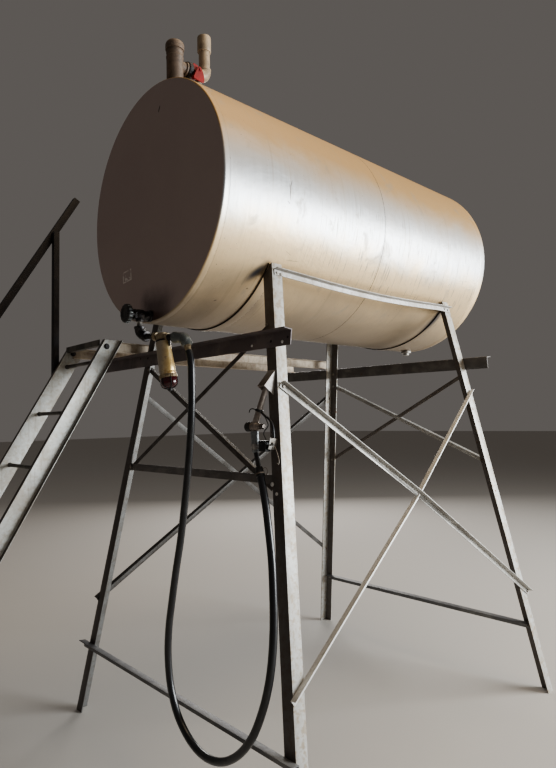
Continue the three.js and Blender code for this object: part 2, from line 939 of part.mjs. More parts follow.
// Hose: hangs from the hose elbow in one long loop and rises to the nozzle
const HOSE_R = 17;
const HOSE_ROUTE = [
  [20.6, -293.2, 2052.6],
  [23, -302, 2024],
  [23.5, -309, 1985],
  [22, -314, 1905],
  [20, -316, 1821],
  [19, -307, 1682],
  [18, -290, 1544],
  [16, -260, 1359],
  [14, -222, 1171],
  [12, -185, 1027],
  [10, -152, 883],
  [8, -124, 739],
  [6, -120, 613],
  [5, -145, 479],
  [4, -204, 373],
  [4, -303, 299],
  [5, -403, 274],
  [8, -513, 291],
  [14, -620, 355],
  [24, -705, 454],
  [42, -755, 577],
  [60, -776, 690],
  [78, -778, 802],
  [96, -767, 912],
  [114, -747, 1024],
  [132, -722, 1138],
  [150, -686, 1255],
  [166, -652, 1355],
  [180, -617, 1437],
  [187, -594, 1487],
];
const hoseCurve = new THREE.CatmullRomCurve3(
  HOSE_ROUTE.map(([x, y, z]) => v3(x, y, z)),
  false,
  "centripetal",
);
add("hose", tube(hoseCurve, HOSE_R, 78, 10), hoseBlack);

// Nozzle, hung by its spout under a folded hood on the near front leg
const NOZZLE_VALVE = v3(212, -532, 1692);
const NOZZLE_NECK = v3(207, -548, 1576);
const SPOUT_TIP = v3(246, -583, 1881);
const SPOUT_AXIS = SPOUT_TIP.clone().sub(NOZZLE_VALVE);
const BARREL_AXIS = NOZZLE_NECK.clone().sub(NOZZLE_VALVE);
const CAP_END_Y = -519;
add(
  "nozzle",
  join(
    turned(
      [
        [0, 0],
        [12, 0],
        [12, 14],
        [15, 16],
        [14.5, 60],
        [12, 165],
        [11.5, SPOUT_AXIS.length()],
        [0, SPOUT_AXIS.length()],
      ],
      NOZZLE_VALVE,
      SPOUT_AXIS,
      24,
    ),
    turned(
      [
        [0, 0],
        [21, 0],
        [21, 32],
        [16, 40],
        [13.5, 46],
        [13.5, 56],
        [10.5, 58],
        [10.5, 66],
        [12.5, 68],
        [12.5, 74],
        [9.5, 76],
        [9.5, 80],
        [0, 80],
      ],
      v3(NOZZLE_VALVE.x, CAP_END_Y - SEAT, NOZZLE_VALVE.z),
      v3(0, -1, 0.02),
      28,
    ),
    turned(
      [
        [0, 0],
        [12, 0],
        [12, 23],
        [19.5, 23.5],
        [19.5, 34],
        [18, 36],
        [18, 72],
        [19.5, 74],
        [19.5, 80],
        [18, 82],
        [18, 104],
        [19.5, 106],
        [19.5, 114],
        [16, BARREL_AXIS.length()],
        [0, BARREL_AXIS.length()],
      ],
      NOZZLE_VALVE,
      BARREL_AXIS,
      24,
    ),
  ),
  castMetal,
);
add(
  "nozzle_cap",
  turned(
    [
      [0, 0],
      [22.5, 0],
      [22.5, 32],
      [19, 37],
      [0, 37],
    ],
    v3(NOZZLE_VALVE.x, CAP_END_Y, NOZZLE_VALVE.z),
    v3(0, 1, -0.02),
    28,
  ),
  blackIron,
);
{
  const down = BARREL_AXIS.clone().normalize();
  const exit = hoseCurve.getTangent(1);
  const low = hoseCurve.getPoint(1).addScaledVector(exit, SEAT);
  const waist = low.clone().addScaledVector(exit, 24);
  add(
    "nozzle_tail",
    join(
      rod(
        NOZZLE_NECK.clone().addScaledVector(down, SEAT),
        NOZZLE_NECK.clone().addScaledVector(down, 9),
        11,
        16,
      ),
      rod(NOZZLE_NECK.clone().addScaledVector(down, 5), waist, 11, 16),
      rod(waist.clone().addScaledVector(exit, 3), low, 14.5, 16),
    ),
    blackIron,
  );
}
const BAND_AT = 77; // along the spout, where the lever's band sits
const LEVER_ROUTE = [
  v3(227, -566, 1758),
  v3(227, -588, 1741),
  v3(226, -617, 1726),
  v3(223, -640, 1704),
  v3(220, -652, 1673),
  v3(219, -655, 1641),
];
const LEVER_WIRE = [
  v3(226, -584, 1743),
  v3(222, -600, 1729),
  v3(217, -616, 1712),
  v3(215, -624, 1699),
  v3(213, -616, 1685),
  v3(211, -601, 1671),
  v3(210, -598, 1657),
  v3(208, -610, 1643),
  v3(207, -616, 1635),
];
const LEVER_HOOK = [
  v3(225, -536, 1768),
  v3(229, -513, 1773),
  v3(231, -494, 1775),
  v3(231, -480, 1769),
  v3(231, -476, 1758),
];
const bentWire = (points, radius, steps, sides) =>
  tube(new THREE.CatmullRomCurve3(points, false, "centripetal"), radius, steps, sides);
{
  const along = SPOUT_AXIS.clone().normalize();
  const bandStart = NOZZLE_VALVE.clone().addScaledVector(along, BAND_AT - 6);
  const bandEnd = NOZZLE_VALVE.clone().addScaledVector(along, BAND_AT + 6);
  const bore = 14.2;
  add(
    "nozzle_lever",
    cut(
      join(
        rod(bandStart, bandEnd, 18.5, 24),
        bentWire(LEVER_ROUTE, 5.5, 20, 10),
        bentWire(LEVER_WIRE, 2.2, 22, 8),
        bentWire(LEVER_HOOK, 2.6, 12, 8),
      ),
      rod(
        bandStart.clone().addScaledVector(along, -20),
        bandEnd.clone().addScaledVector(along, 20),
        bore + 0.5,
        32,
      ),
    ),
    blackIron,
  );
}
{
  // the hood is a wedge folded from plate: sloping front, two cheeks, open below and against the leg
  const top = 1952;
  const bottom = 1835;
  const lipZ = 1877;
  const lipOut = 62;
  const nearY = -600;
  const farY = -551;
  const plate = 3;
  const faceX = (z) => FRONT.at(0, z).x - 0.4;
  const toSide = new THREE.Matrix4().makeBasis(v3(1, 0, 0), v3(0, 0, 1), v3(0, -1, 0));
  const wedge = prism(
    [
      [faceX(bottom), bottom],
      [faceX(top), top],
      [faceX(lipZ) - lipOut, lipZ],
    ],
    farY - nearY,
  ).applyMatrix4(toSide.clone().setPosition(0, farY, 0));
  const room = prism(
    [
      [faceX(bottom) + 40, bottom - 70],
      [faceX(top) + 40, top - 12],
      [faceX(top - 12), top - 12],
      [faceX(lipZ) - lipOut + 4.5, lipZ - 1],
      [faceX(lipZ) - lipOut - 20, lipZ - 30],
    ],
    farY - nearY - 2 * plate,
  ).applyMatrix4(toSide.clone().setPosition(0, farY - plate, 0));
  add("nozzle_hood", cut(wedge, room), galvanised);
}

// Hasp on the same leg: its staple plate stands out toward -X, with a padlock through it
const HASP_Z = 1612;
const HASP_Y = -645;
const STAPLE_OUT = 30;
{
  const slot = FRONT.at(HASP_Y, HASP_Z).addScaledVector(FRONT.out, STAPLE_OUT);
  add(
    "hasp",
    cut(
      memberGeometry(
        [
          [0, SEAT],
          [34, SEAT],
          [34, 3.4],
          [3, 3.4],
          [3, 46],
          [0, 46],
        ],
        FRONT.at(HASP_Y + 4, HASP_Z - 25),
        FRONT.at(HASP_Y - 4, HASP_Z + 25),
        FRONT.out,
      ),
      rod(slot.clone().setY(HASP_Y - 20), slot.clone().setY(HASP_Y + 20), 7, 16),
    ),
    galvanised,
  );
  const bowX = slot.x - 11;
  const bowZ = slot.z - 3.5; // the shackle rests on the slot's lower edge
  const bow = [];
  for (let i = 0; i <= 6; i += 1) {
    const a = (i / 6) * Math.PI;
    bow.push(v3(bowX + 11 * Math.cos(a), HASP_Y - 12 - 11 * Math.sin(a), bowZ));
  }
  const straight = [bow[0], bow[6]].map((end) => rod(end, end.clone().setY(HASP_Y + 16), 3.2, 10));
  const body = new THREE.BoxGeometry(32, 46, 48).translate(bowX, HASP_Y + 38, bowZ - 6);
  add(
    "padlock",
    join(tube(new THREE.CatmullRomCurve3(bow), 3.2, 12, 10), ...straight, body),
    blackIron,
  );
}

// The row's origin is the middle of the fixed pieces' footprint, on the floor.
const CORD_NODES = new Set(["hose", "nozzle", "nozzle_cap", "nozzle_tail", "nozzle_lever"]);
const bounds = new THREE.Box3();
group.children
  .filter((mesh) => !CORD_NODES.has(mesh.name))
  .forEach((mesh) => bounds.expandByObject(mesh));
const middle = bounds.getCenter(v3(0, 0, 0));
group.children.forEach((mesh) => mesh.position.set(-middle.x, -middle.y, 0));

export default group;
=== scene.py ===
"""Looks of an elevated horizontal fuel tank on a splayed angle-iron stand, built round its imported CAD.

Places are given in the tank's own millimetres: x runs along the tank from its outlet end, y is 0 on the
tank's axis and positive towards the ladder, and z is 0 on the floor. at() turns them into the row frame.
"""

import math

import bmesh
import bpy
from mathutils import Matrix, Vector, noise


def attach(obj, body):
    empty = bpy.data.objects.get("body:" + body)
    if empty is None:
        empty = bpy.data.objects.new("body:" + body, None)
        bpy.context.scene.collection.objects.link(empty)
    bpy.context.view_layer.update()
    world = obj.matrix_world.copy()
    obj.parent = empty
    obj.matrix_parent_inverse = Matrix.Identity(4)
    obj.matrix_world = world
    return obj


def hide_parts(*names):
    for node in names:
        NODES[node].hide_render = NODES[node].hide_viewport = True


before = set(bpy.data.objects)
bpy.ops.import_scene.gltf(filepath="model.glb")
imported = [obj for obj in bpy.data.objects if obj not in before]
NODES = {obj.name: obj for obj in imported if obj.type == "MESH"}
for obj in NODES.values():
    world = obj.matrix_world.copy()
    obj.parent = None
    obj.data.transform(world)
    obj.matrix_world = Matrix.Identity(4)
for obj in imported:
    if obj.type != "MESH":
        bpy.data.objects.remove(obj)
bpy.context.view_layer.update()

MM = 0.001
TAU = math.tau
ROW_X = 544.4506  # the middle of the fixed pieces' footprint, which is the row's origin
ROW_Y = 115.7175

# Tank
TANK_R = 610
TANK_LENGTH = 2320
TANK_WALL = 4
TANK_AXIS_Z = 2835
SEAM_X = 1150
FRONT_FLANGE = 34
REAR_FLANGE = 80
FRONT_KNUCKLE = 9
REAR_KNUCKLE = 30

# Stand
STAND_MID_X = 1154
TANK_BOTTOM_Z = TANK_AXIS_Z - TANK_R
HALF_X = 830
HALF_Y = 559
SPLAY_X = 0.1282
SPLAY_Y = 0.1794
LEG_T = 6
SEAT = 0.3
STRAP_X = (347, 1940)
STRAP_WIDTH = 60

# Ladder
LADDER_TOP_Z = 2212
LADDER_TOP_X = 46
LADDER_SLOPE = math.sqrt(3)
LADDER_NEAR_Y = 620
LADDER_FAR_Y = 1089
STRINGER_DEPTH = 100
STRINGER_T = 4
STRINGER_RUN = STRINGER_DEPTH / math.sin(math.atan(LADDER_SLOPE))
RUNGS = 7
RUNG_LOW_Z = 285
RUNG_PITCH = 300
RUNG_R = 11.0

X_AXIS = Vector((1, 0, 0))
Y_AXIS = Vector((0, 1, 0))
Z_AXIS = Vector((0, 0, 1))


def at(x, y, z):
    """A point in the row frame, in metres, from the tank's own millimetres."""
    return Vector(((x - ROW_X) * MM, (y - ROW_Y) * MM, z * MM))


def heel_x(z):
    return HALF_X + SPLAY_X * (TANK_BOTTOM_Z - z)


def heel_y(z):
    return HALF_Y + SPLAY_Y * (TANK_BOTTOM_Z - z)


class Face:
    """One sloping face of the stand: points on it, lifted off it along its outward direction."""

    def __init__(self, axis, side):
        self.axis = axis
        self.side = side
        splay = SPLAY_X if axis == "x" else SPLAY_Y
        out = Vector((side, 0, splay)) if axis == "x" else Vector((0, side, splay))
        self.out = out.normalized()

    def at(self, across, z, off=0.0):
        if self.axis == "x":
            spot = at(STAND_MID_X + self.side * heel_x(z), across, z)
        else:
            spot = at(across, self.side * heel_y(z), z)
        return spot + self.out * off * MM


FRONT = Face("x", -1)
REAR = Face("x", 1)
NEAR = Face("y", -1)
FAR = Face("y", 1)


def linked(name, data):
    """An object in the scene that shows some data."""
    obj = bpy.data.objects.new(name, data)
    bpy.context.scene.collection.objects.link(obj)
    return obj


# Camera at the photograph's viewing angle
FOCAL_PX = 584.07
FRAME_HEIGHT_PX = 768
SENSOR_HEIGHT = 36
CAMERA_SPOT = at(-1531, -2560, 1722)
CAMERA_YAW = math.radians(46.924)
CAMERA_PITCH = math.radians(3.498)
CAMERA_ROLL = math.radians(-1.114)


def make_camera():
    data = bpy.data.cameras.new("camera")
    data.sensor_fit = "VERTICAL"
    data.sensor_height = SENSOR_HEIGHT
    data.lens = FOCAL_PX * SENSOR_HEIGHT / FRAME_HEIGHT_PX
    data.clip_end = 200
    level = Vector((math.cos(CAMERA_YAW), math.sin(CAMERA_YAW), 0))
    ahead = level * math.cos(CAMERA_PITCH) + Z_AXIS * math.sin(CAMERA_PITCH)
    right = Vector((math.sin(CAMERA_YAW), -math.cos(CAMERA_YAW), 0))
    up = right.cross(ahead)
    side = right * math.cos(CAMERA_ROLL) + up * math.sin(CAMERA_ROLL)
    top = up * math.cos(CAMERA_ROLL) - right * math.sin(CAMERA_ROLL)
    camera = linked("camera", data)
    turn = Matrix((side, top, -ahead)).transposed().to_4x4()
    camera.matrix_world = Matrix.Translation(CAMERA_SPOT) @ turn
    bpy.context.scene.camera = camera


make_camera()


# Mesh helpers


def piece(name, bm, material, node, replaces=False, sharp=35):
    """Turns a bmesh into a piece that takes a CAD node's place or adds to it.

    It is smooth except at edges sharper than an angle.
    """
    mesh = bpy.data.meshes.new(name)
    bm.normal_update()
    bm.to_mesh(mesh)
    bm.free()
    mesh.shade_smooth()
    mesh.set_sharp_from_angle(angle=math.radians(sharp))
    mesh.materials.append(material)
    obj = linked(name, mesh)
    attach(obj, "root")
    if replaces:
        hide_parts(node)
    return obj


def frame_of(direction):
    """Two directions square to a direction, and the direction itself, as a right-handed set."""
    w = direction.normalized()
    helper = Z_AXIS if abs(w.z) < 0.9 else X_AXIS
    u = helper.cross(w).normalized()
    return u, w.cross(u), w


def circle(centre, u, v, radius, count, turn=0.0, lobes=0, depth=0.0):
    """Points round a centre, in the plane of u and v; lobes flute the rim by a share of the radius."""
    points = []
    for i in range(count):
        a = TAU * i / count + turn
        r = radius * (1 + depth * math.cos(lobes * a))
        points.append(centre + u * r * math.cos(a) + v * r * math.sin(a))
    return points


def spokes(direction, count, turn=0.0):
    """Unit vectors spread evenly round a direction."""
    u, v, _ = frame_of(direction)
    return circle(Vector(), u, v, 1.0, count, turn)


def add_rings(bm, rings, looped=False):
    """Skins a list of equal closed rings of points, with flat caps at both ends or joined end to end."""
    made = [[bm.verts.new(p) for p in ring] for ring in rings]
    pairs = list(zip(made, made[1:]))
    if looped:
        pairs.append((made[-1], made[0]))
    count = len(made[0])
    for low, high in pairs:
        for i in range(count):
            j = (i + 1) % count
            bm.faces.new((low[i], low[j], high[j], high[i]))
    if not looped:
        bm.faces.new(list(reversed(made[0])))
        bm.faces.new(made[-1])


def add_lathe(bm, profile, start, direction, segments=48, looped=False, **flutes):
    """Turns radius and height pairs, in millimetres, about a direction."""
    u, v, w = frame_of(direction)
    rings = []
    for radius, height in profile:
        centre = start + w * height * MM
        rings.append(circle(centre, u, v, max(radius, 0.01) * MM, segments, **flutes))
    add_rings(bm, rings, looped)


def turned(name, profile, start, direction, segments, material, node, replaces=False, sharp=35, **flutes):
    """A piece that is one turned profile."""
    bm = bmesh.new()
    add_lathe(bm, profile, start, direction, segments, **flutes)
    return piece(name, bm, material, node, replaces, sharp)


def path_frames(points):
    """Directions and steady side vectors along a path."""
    frames = []
    side = None
    for i, point in enumerate(points):
        ahead = points[min(i + 1, len(points) - 1)] - points[max(i - 1, 0)]
        ahead.normalize()
        if side is None:
            side = frame_of(ahead)[0]
        side = (side - ahead * side.dot(ahead)).normalized()
        frames.append((point, side, ahead.cross(side)))
    return frames


def add_sweep(bm, points, radius, sides=12):
    """Sweeps a round section along points; radius is one size or one for each point, in metres."""
    radii = radius if isinstance(radius, list) else [radius] * len(points)
    rings = []
    for (point, u, v), r in zip(path_frames(points), radii):
        rings.append(circle(point, u, v, r, sides))
    add_rings(bm, rings)


def round_edges(bm, edges, radius):
    shape = {"offset": radius * MM, "segments": 2, "profile": 0.6, "clamp_overlap": True}
    bmesh.ops.bevel(bm, geom=edges, affect="EDGES", **shape)


def add_block(bm, centre, size, axes, radius):
    """A box with rounded edges, sized in millimetres along three axes."""
    made = bmesh.ops.create_cube(bm, size=1.0)
    turn = Matrix(axes).transposed().to_4x4()
    scale = Matrix.Diagonal((size[0] * MM, size[1] * MM, size[2] * MM, 1))
    bmesh.ops.transform(bm, matrix=Matrix.Translation(centre) @ turn @ scale, verts=made["verts"])
    edges = dict.fromkeys(edge for vert in made["verts"] for edge in vert.link_edges)
    round_edges(bm, list(edges), radius)


def add_plate(bm, outline, y, thickness, edge):
    """A flat plate with eased edges: x and z pairs, from a y towards -Y, with its corners rounded."""
    corners = [Vector(p) for p in outline]
    curve = []
    for before, corner, after in zip(corners[-1:] + corners[:-1], corners, corners[1:] + corners[:1]):
        start = corner.lerp(before, 0.32)
        end = corner.lerp(after, 0.32)
        for i in range(5):
            t = i / 4
            curve.append(start.lerp(corner, t).lerp(corner.lerp(end, t), t))
    middle = sum(curve, Vector((0, 0))) / len(curve)
    rings = []
    for depth, inset in ((0, edge), (edge, 0), (thickness - edge, 0), (thickness, edge)):
        ring = [p + (middle - p).normalized() * inset for p in curve]
        rings.append([at(p.x, y - depth, p.y) for p in ring])
    add_rings(bm, rings)


def between(a, b, start, end, t):
    """The point that a line from a at one time to b at another reaches at a time t."""
    return a * ((end - t) / (end - start)) + b * ((t - start) / (end - start))


def smooth_path(points, per_span):
    """A centripetal curve through points, so that closely set points don't make it bulge."""
    ends = [points[0] * 2 - points[1], *points, points[-1] * 2 - points[-2]]
    result = []
    for p0, p1, p2, p3 in zip(ends, ends[1:], ends[2:], ends[3:]):
        t1 = math.sqrt((p1 - p0).length)
        t2 = t1 + math.sqrt((p2 - p1).length)
        t3 = t2 + math.sqrt((p3 - p2).length)
        for i in range(per_span):
            t = t1 + (t2 - t1) * i / per_span
            middle = between(p1, p2, t1, t2, t)
            early = between(between(p0, p1, 0, t1, t), middle, 0, t2, t)
            late = between(middle, between(p2, p3, t2, t3, t), t1, t3, t)
            result.append(between(early, late, t1, t2, t))
    result.append(points[-1])
    return result


def dress(nodes, material, bevel, angle=25):
    """Copies of named CAD nodes with rounded edges and a finish, shown in their places."""
    for node in nodes.split():
        bm = bmesh.new()
        bm.from_mesh(NODES[node].data)
        bmesh.ops.remove_doubles(bm, verts=bm.verts, dist=1e-5)
        bmesh.ops.dissolve_limit(bm, angle_limit=0.01, verts=bm.verts, edges=bm.edges)
        limit = math.radians(angle)
        edges = [e for e in bm.edges if len(e.link_faces) == 2 and e.calc_face_angle(0) > limit]
        round_edges(bm, edges, bevel)
        piece(node + "_dressed", bm, material, node, replaces=True, sharp=40)


# Material helpers


class Finish:
    """A procedural material under construction, measured in metres of the row frame."""

    def __init__(self, name, **constants):
        self.material = bpy.data.materials.new(name)
        self.material.use_nodes = True
        self.tree = self.material.node_tree
        self.shader = self.tree.nodes["Principled BSDF"]
        for label, value in constants.items():
            self.shader.inputs[label.replace("_", " ")].default_value = value
        self.place = self.node("TexCoord").outputs["Object"]

    def feed(self, socket, value):
        if isinstance(value, bpy.types.NodeSocket):
            self.tree.links.new(value, socket)
        elif isinstance(value, tuple) and len(value) == 3 and socket.type == "RGBA":
            socket.default_value = (*value, 1)
        else:
            socket.default_value = value

    def node(self, kind, *ordered, **named):
        """A new shader node, with inputs fed in order or by name."""
        made = self.tree.nodes.new("ShaderNode" + kind)
        for socket, value in zip(made.inputs, ordered):
            self.feed(socket, value)
        for label, value in named.items():
            self.feed(made.inputs[label], value)
        return made

    def math(self, kind, *values):
        node = self.node("Math", *values)
        node.operation = kind
        return node.outputs[0]

    def product(self, first, *others):
        for other in others:
            first = self.math("MULTIPLY", first, other)
        return first

    def total(self, first, *others):
        for other in others:
            first = self.math("ADD", first, other)
        return first

    def axis(self, letter, source=None):
        return self.node("SeparateXYZ", source or self.place).outputs[letter]

    def join(self, x, y, z):
        return self.node("CombineXYZ", x, y, z).outputs[0]

    def stretched(self, x, y, z, source=None):
        return self.node("Mapping", Vector=source or self.place, Scale=(x, y, z)).outputs[0]

    def noise(self, scale, detail, rough=0.55, place=None, distortion=0.0):
        node = self.node("TexNoise", Vector=place or self.place, Scale=scale, Detail=detail)
        self.feed(node.inputs["Roughness"], rough)
        self.feed(node.inputs["Distortion"], distortion)
        return node.outputs["Fac"]

    def cells(self, scale):
        return self.axis("X", self.node("TexVoronoi", Vector=self.place, Scale=scale).outputs["Color"])

    def band(self, value, low, high):
        """0 below low and 1 above high, or the other way round if low is the larger."""
        limits = (high, low, 1.0, 0.0) if low > high else (low, high, 0.0, 1.0)
        node = self.node("MapRange", value, *limits)
        node.interpolation_type = "SMOOTHSTEP"
        return node.outputs[0]

    def laid(self, centre, size, turn, place):
        """A place measured from a centre along turned axes, in half-sizes."""
        node = self.node("Mapping", Vector=place, Location=(*centre, 0), Rotation=(0, 0, turn))
        node.vector_type = "TEXTURE"
        self.feed(node.inputs["Scale"], (*size, 1))
        return node.outputs[0]

    def patch(self, centre, size, turn, place, soft):
        """1 inside an ellipse of two half-sizes laid at an angle, fading to 0 at its edge."""
        node = self.node("VectorMath", self.laid(centre, size, turn, place))
        node.operation = "LENGTH"
        return self.band(node.outputs["Value"], 1.0, 1.0 - soft)

    def mix(self, share, a, b):
        """Between two colours."""
        node = self.node("Mix", share)
        node.data_type = "RGBA"
        self.feed(node.inputs[6], a)
        self.feed(node.inputs[7], b)
        return node.outputs[2]

    def over(self, base, color, *shares):
        """A colour laid over another by the product of some shares."""
        return self.mix(self.product(*shares), base, color)

    def layered(self, base, *layers):
        """A colour under layers, each a colour and the shares it shows by."""
        for color, *shares in layers:
            base = self.over(base, color, *shares)
        return base

    def blend(self, share, a, b):
        """Between two numbers."""
        node = self.node("Mix", share)
        self.feed(node.inputs[2], a)
        self.feed(node.inputs[3], b)
        return node.outputs[0]

    def bump(self, height, strength, distance):
        node = self.node("Bump", Strength=strength, Distance=distance, Height=height)
        self.feed(self.shader.inputs["Normal"], node.outputs[0])

    def done(self, color, roughness=None, metallic=None):
        self.feed(self.shader.inputs["Base Color"], color)
        if roughness is not None:
            self.feed(self.shader.inputs["Roughness"], roughness)
        if metallic is not None:
            self.feed(self.shader.inputs["Metallic"], metallic)
        return self.material


def around(x, degrees):
    """A place on the unrolled shell, in metres: along the tank and round it from its top."""
    return ((x - ROW_X) * MM, math.radians(degrees) * TANK_R * MM)


# Marks on the near side of the shell: middle, half-size, tilt and strength. The first list is painted shade
# in shallow dents near the leg tops and straps, the second scratches.
CREASE_SHADES = [
    (around(302, -131), (0.110, 0.036), 0.94, 0.97),
    (around(1946, -138), (0.190, 0.052), 1.42, 0.92),
    (around(420, -150), (0.060, 0.110), 0.20, 0.25),
]
SCRATCHES = [
    (around(493, -122), (0.055, 0.0016), 0.10, 0.75),
    (around(452, -119), (0.030, 0.0014), -0.35, 0.65),
    (around(399, -92), (0.0030, 0.054), 0.06, 1.0),
    (around(408, -88), (0.0024, 0.024), -0.30, 0.95),
    (around(392, -97), (0.0150, 0.0026), -0.55, 0.95),
    (around(170, -150), (0.010, 0.0050), 0.60, 0.70),
    (around(300, -140), (0.008, 0.0060), 0.20, 0.60),
    (around(1395, -104), (0.0022, 0.028), 0.20, 0.55),
    (around(1320, -110), (0.0020, 0.034), 0.05, 0.50),
    (around(1905, -114), (0.0120, 0.0030), 0.90, 0.60),
]


def tank_paint(name, strap_shadows=False):
    """Old aluminium paint brushed on round the shell, with painted reflections of warm surroundings: tan on
    top, where it is also dusty, and gold below.
    """
    f = Finish(name)
    axis = at(0, 0, TANK_AXIS_Z)
    front = at(0, 0, 0).x
    rear = at(TANK_LENGTH, 0, 0).x
    x = f.axis("X")
    side = f.total(f.axis("Y"), -axis.y)
    height = f.total(f.axis("Z"), -axis.z)
    angle = f.math("ARCTAN2", side, height)
    wrapped = f.join(x, f.product(angle, TANK_R * MM), 0.0)
    strokes = f.noise(1.0, 5, 0.6, f.stretched(52, 2.4, 1, wrapped))
    fine = f.noise(1.0, 3, 0.6, f.stretched(240, 9, 1, wrapped))
    clouds = f.noise(2.1, 5, 0.6, wrapped, 0.5)
    patches = f.noise(5.5, 6, 0.62, wrapped, 0.6)
    # Painted reflections: the tan on top (partly dust), the gold lower down and the grey-brown underneath
    # stand for warm surroundings mirrored in the shell, strongest on the near (-Y) side.
    near = f.band(side, 0.25, -0.20)
    dust = f.mix(near, (0.46, 0.410, 0.345), (0.43, 0.262, 0.092))
    gold = f.mix(near, (0.56, 0.510, 0.440), (0.80, 0.600, 0.345))
    ragged = f.total(height, f.product(f.total(clouds, -0.5), 0.26))
    dusty = f.band(ragged, -0.05, 0.27)
    low = f.band(ragged, -0.10, -0.28)
    under = f.band(ragged, -0.36, -0.60)
    middle = f.product(f.band(ragged, 0.06, -0.04), f.band(ragged, -0.46, -0.30))
    worn = f.band(patches, 0.58, 0.70)
    runs = f.band(f.noise(1.0, 4, 0.6, f.stretched(34, 1.5, 1, wrapped)), 0.56, 0.72)
    drips = f.band(f.noise(1.0, 3, 0.55, f.stretched(95, 7, 1, wrapped)), 0.57, 0.68)
    specks = f.band(f.noise(95, 2, 0.5, wrapped), 0.69, 0.75)
    silver = f.layered(
        f.mix(strokes, (0.52, 0.53, 0.535), (0.66, 0.675, 0.685)),
        (dust, dusty, 0.92),
        (gold, low, 0.88),
        ((0.34, 0.282, 0.220), under, 0.85),
        ((0.33, 0.28, 0.22), worn, 0.45),
        ((0.36, 0.28, 0.19), runs, 0.42),
        ((0.22, 0.20, 0.18), drips, middle, f.band(x, front + 0.25, front + 0.90), 0.75),
        ((0.16, 0.12, 0.09), specks, 0.65),
    )
    # Painted shade in the dents, then the scratches, each a soft patch of darker colour.
    crease_shade_and_scratches = ((CREASE_SHADES, (0.085, 0.085, 0.100), 0.95), (SCRATCHES, (0.10, 0.08, 0.07), 0.5))
    for marks, tone, soft in crease_shade_and_scratches:
        for centre, size, turn, strength in marks:
            silver = f.over(silver, tone, f.patch(centre, size, turn, wrapped, soft), strength)
    # Painted shadow along each strap: a dark line at its front edge where it meets the shell, and a faint
    # broken line of painted shade at its back edge.
    for start in STRAP_X if strap_shadows else ():
        edge = (start - ROW_X) * MM
        back = edge + STRAP_WIDTH * MM
        dotted = f.band(f.noise(70, 2, 0.5), 0.44, 0.52)
        dark = (f.band(x, edge + 0.0055, edge + 0.0040), f.band(x, edge - 0.2, edge - 0.1))
        rim = (f.band(x, back - 0.004, back - 0.002), f.band(x, back + 0.2, back + 0.1))
        silver = f.over(silver, (0.022, 0.018, 0.018), *dark, 0.95)
        silver = f.over(silver, (0.12, 0.09, 0.07), *rim, dotted, 0.85)
    rough = f.total(f.blend(strokes, 0.33, 0.47), f.product(dusty, 0.20))
    rough = f.total(rough, f.product(f.band(x, rear - 0.10, rear - 0.05), 0.22))
    f.bump(f.total(f.product(clouds, 1.8), f.product(fine, 0.05), f.product(strokes, 0.14)), 0.5, 0.006)
    return f.done(silver, rough, f.blend(f.math("MAXIMUM", worn, dusty), 0.62, 0.30))


LABEL = (248, 2507)  # y and z of a lost label's glue on the flat end
LABEL_SIZE = (0.046, 0.031)
LABEL_TILT = -0.08


def end_paint():
    """The flat end: the shell's paint gone dull, darker and browner as painted shade, with an oil stain
    beside the outlet.
    """
    f = Finish("end_paint")
    flat = f.join(f.axis("Y"), f.axis("Z"), 0.0)
    clouds = f.noise(1.3, 4, 0.5, None, 0.3)
    grain = f.noise(60, 4, 0.6)
    ragged = f.product(f.total(f.noise(11, 4, 0.6), -0.5), 0.10)
    y = f.total(f.axis("Y"), ragged)
    z = f.total(f.axis("Z"), ragged)
    corner = at(0, 92, 2392)
    right = f.band(y, corner.y + 0.035, corner.y - 0.075)
    fade = f.band(y, corner.y - 0.360, corner.y - 0.150)
    oil = f.product(right, fade, f.band(z, corner.z + 0.020, corner.z - 0.085))
    place = at(0, *LABEL)
    where = f.laid((place.y, place.z), LABEL_SIZE, LABEL_TILT, flat)
    across = f.math("ABSOLUTE", f.axis("X", where))
    up = f.math("ABSOLUTE", f.axis("Y", where))
    reach = f.math("MAXIMUM", across, up)
    inside = f.product(f.band(reach, 0.80, 0.70), f.band(f.noise(30, 3, 0.6), 0.56, 0.62))
    worn = f.band(f.noise(24, 3, 0.6), 0.38, 0.50)
    outline = f.product(f.band(reach, 0.72, 0.84), f.band(reach, 1.05, 0.94), worn)
    mark = at(0, -85, 3297)
    chip = f.patch((mark.y, mark.z), (0.007, 0.022), 0.5, flat, 0.5)
    # The base tone is the shell's paint darkened and browned as painted shade.
    tone = f.layered(
        f.mix(f.band(clouds, 0.35, 0.68), (0.430, 0.345, 0.325), (0.460, 0.370, 0.348)),
        ((0.14, 0.11, 0.10), grain, 0.10),
        ((0.060, 0.030, 0.026), oil, 0.80),
        ((0.80, 0.76, 0.71), f.math("MAXIMUM", outline, inside), 0.80),
        ((0.03, 0.025, 0.024), chip, 0.8),
    )
    f.bump(f.total(f.product(clouds, 1.2), f.product(grain, 0.05)), 0.3, 0.004)
    return f.done(tone, f.blend(oil, 0.60, 0.30), 0.12)


def shade(color, share):
    return tuple(share * c for c in color)


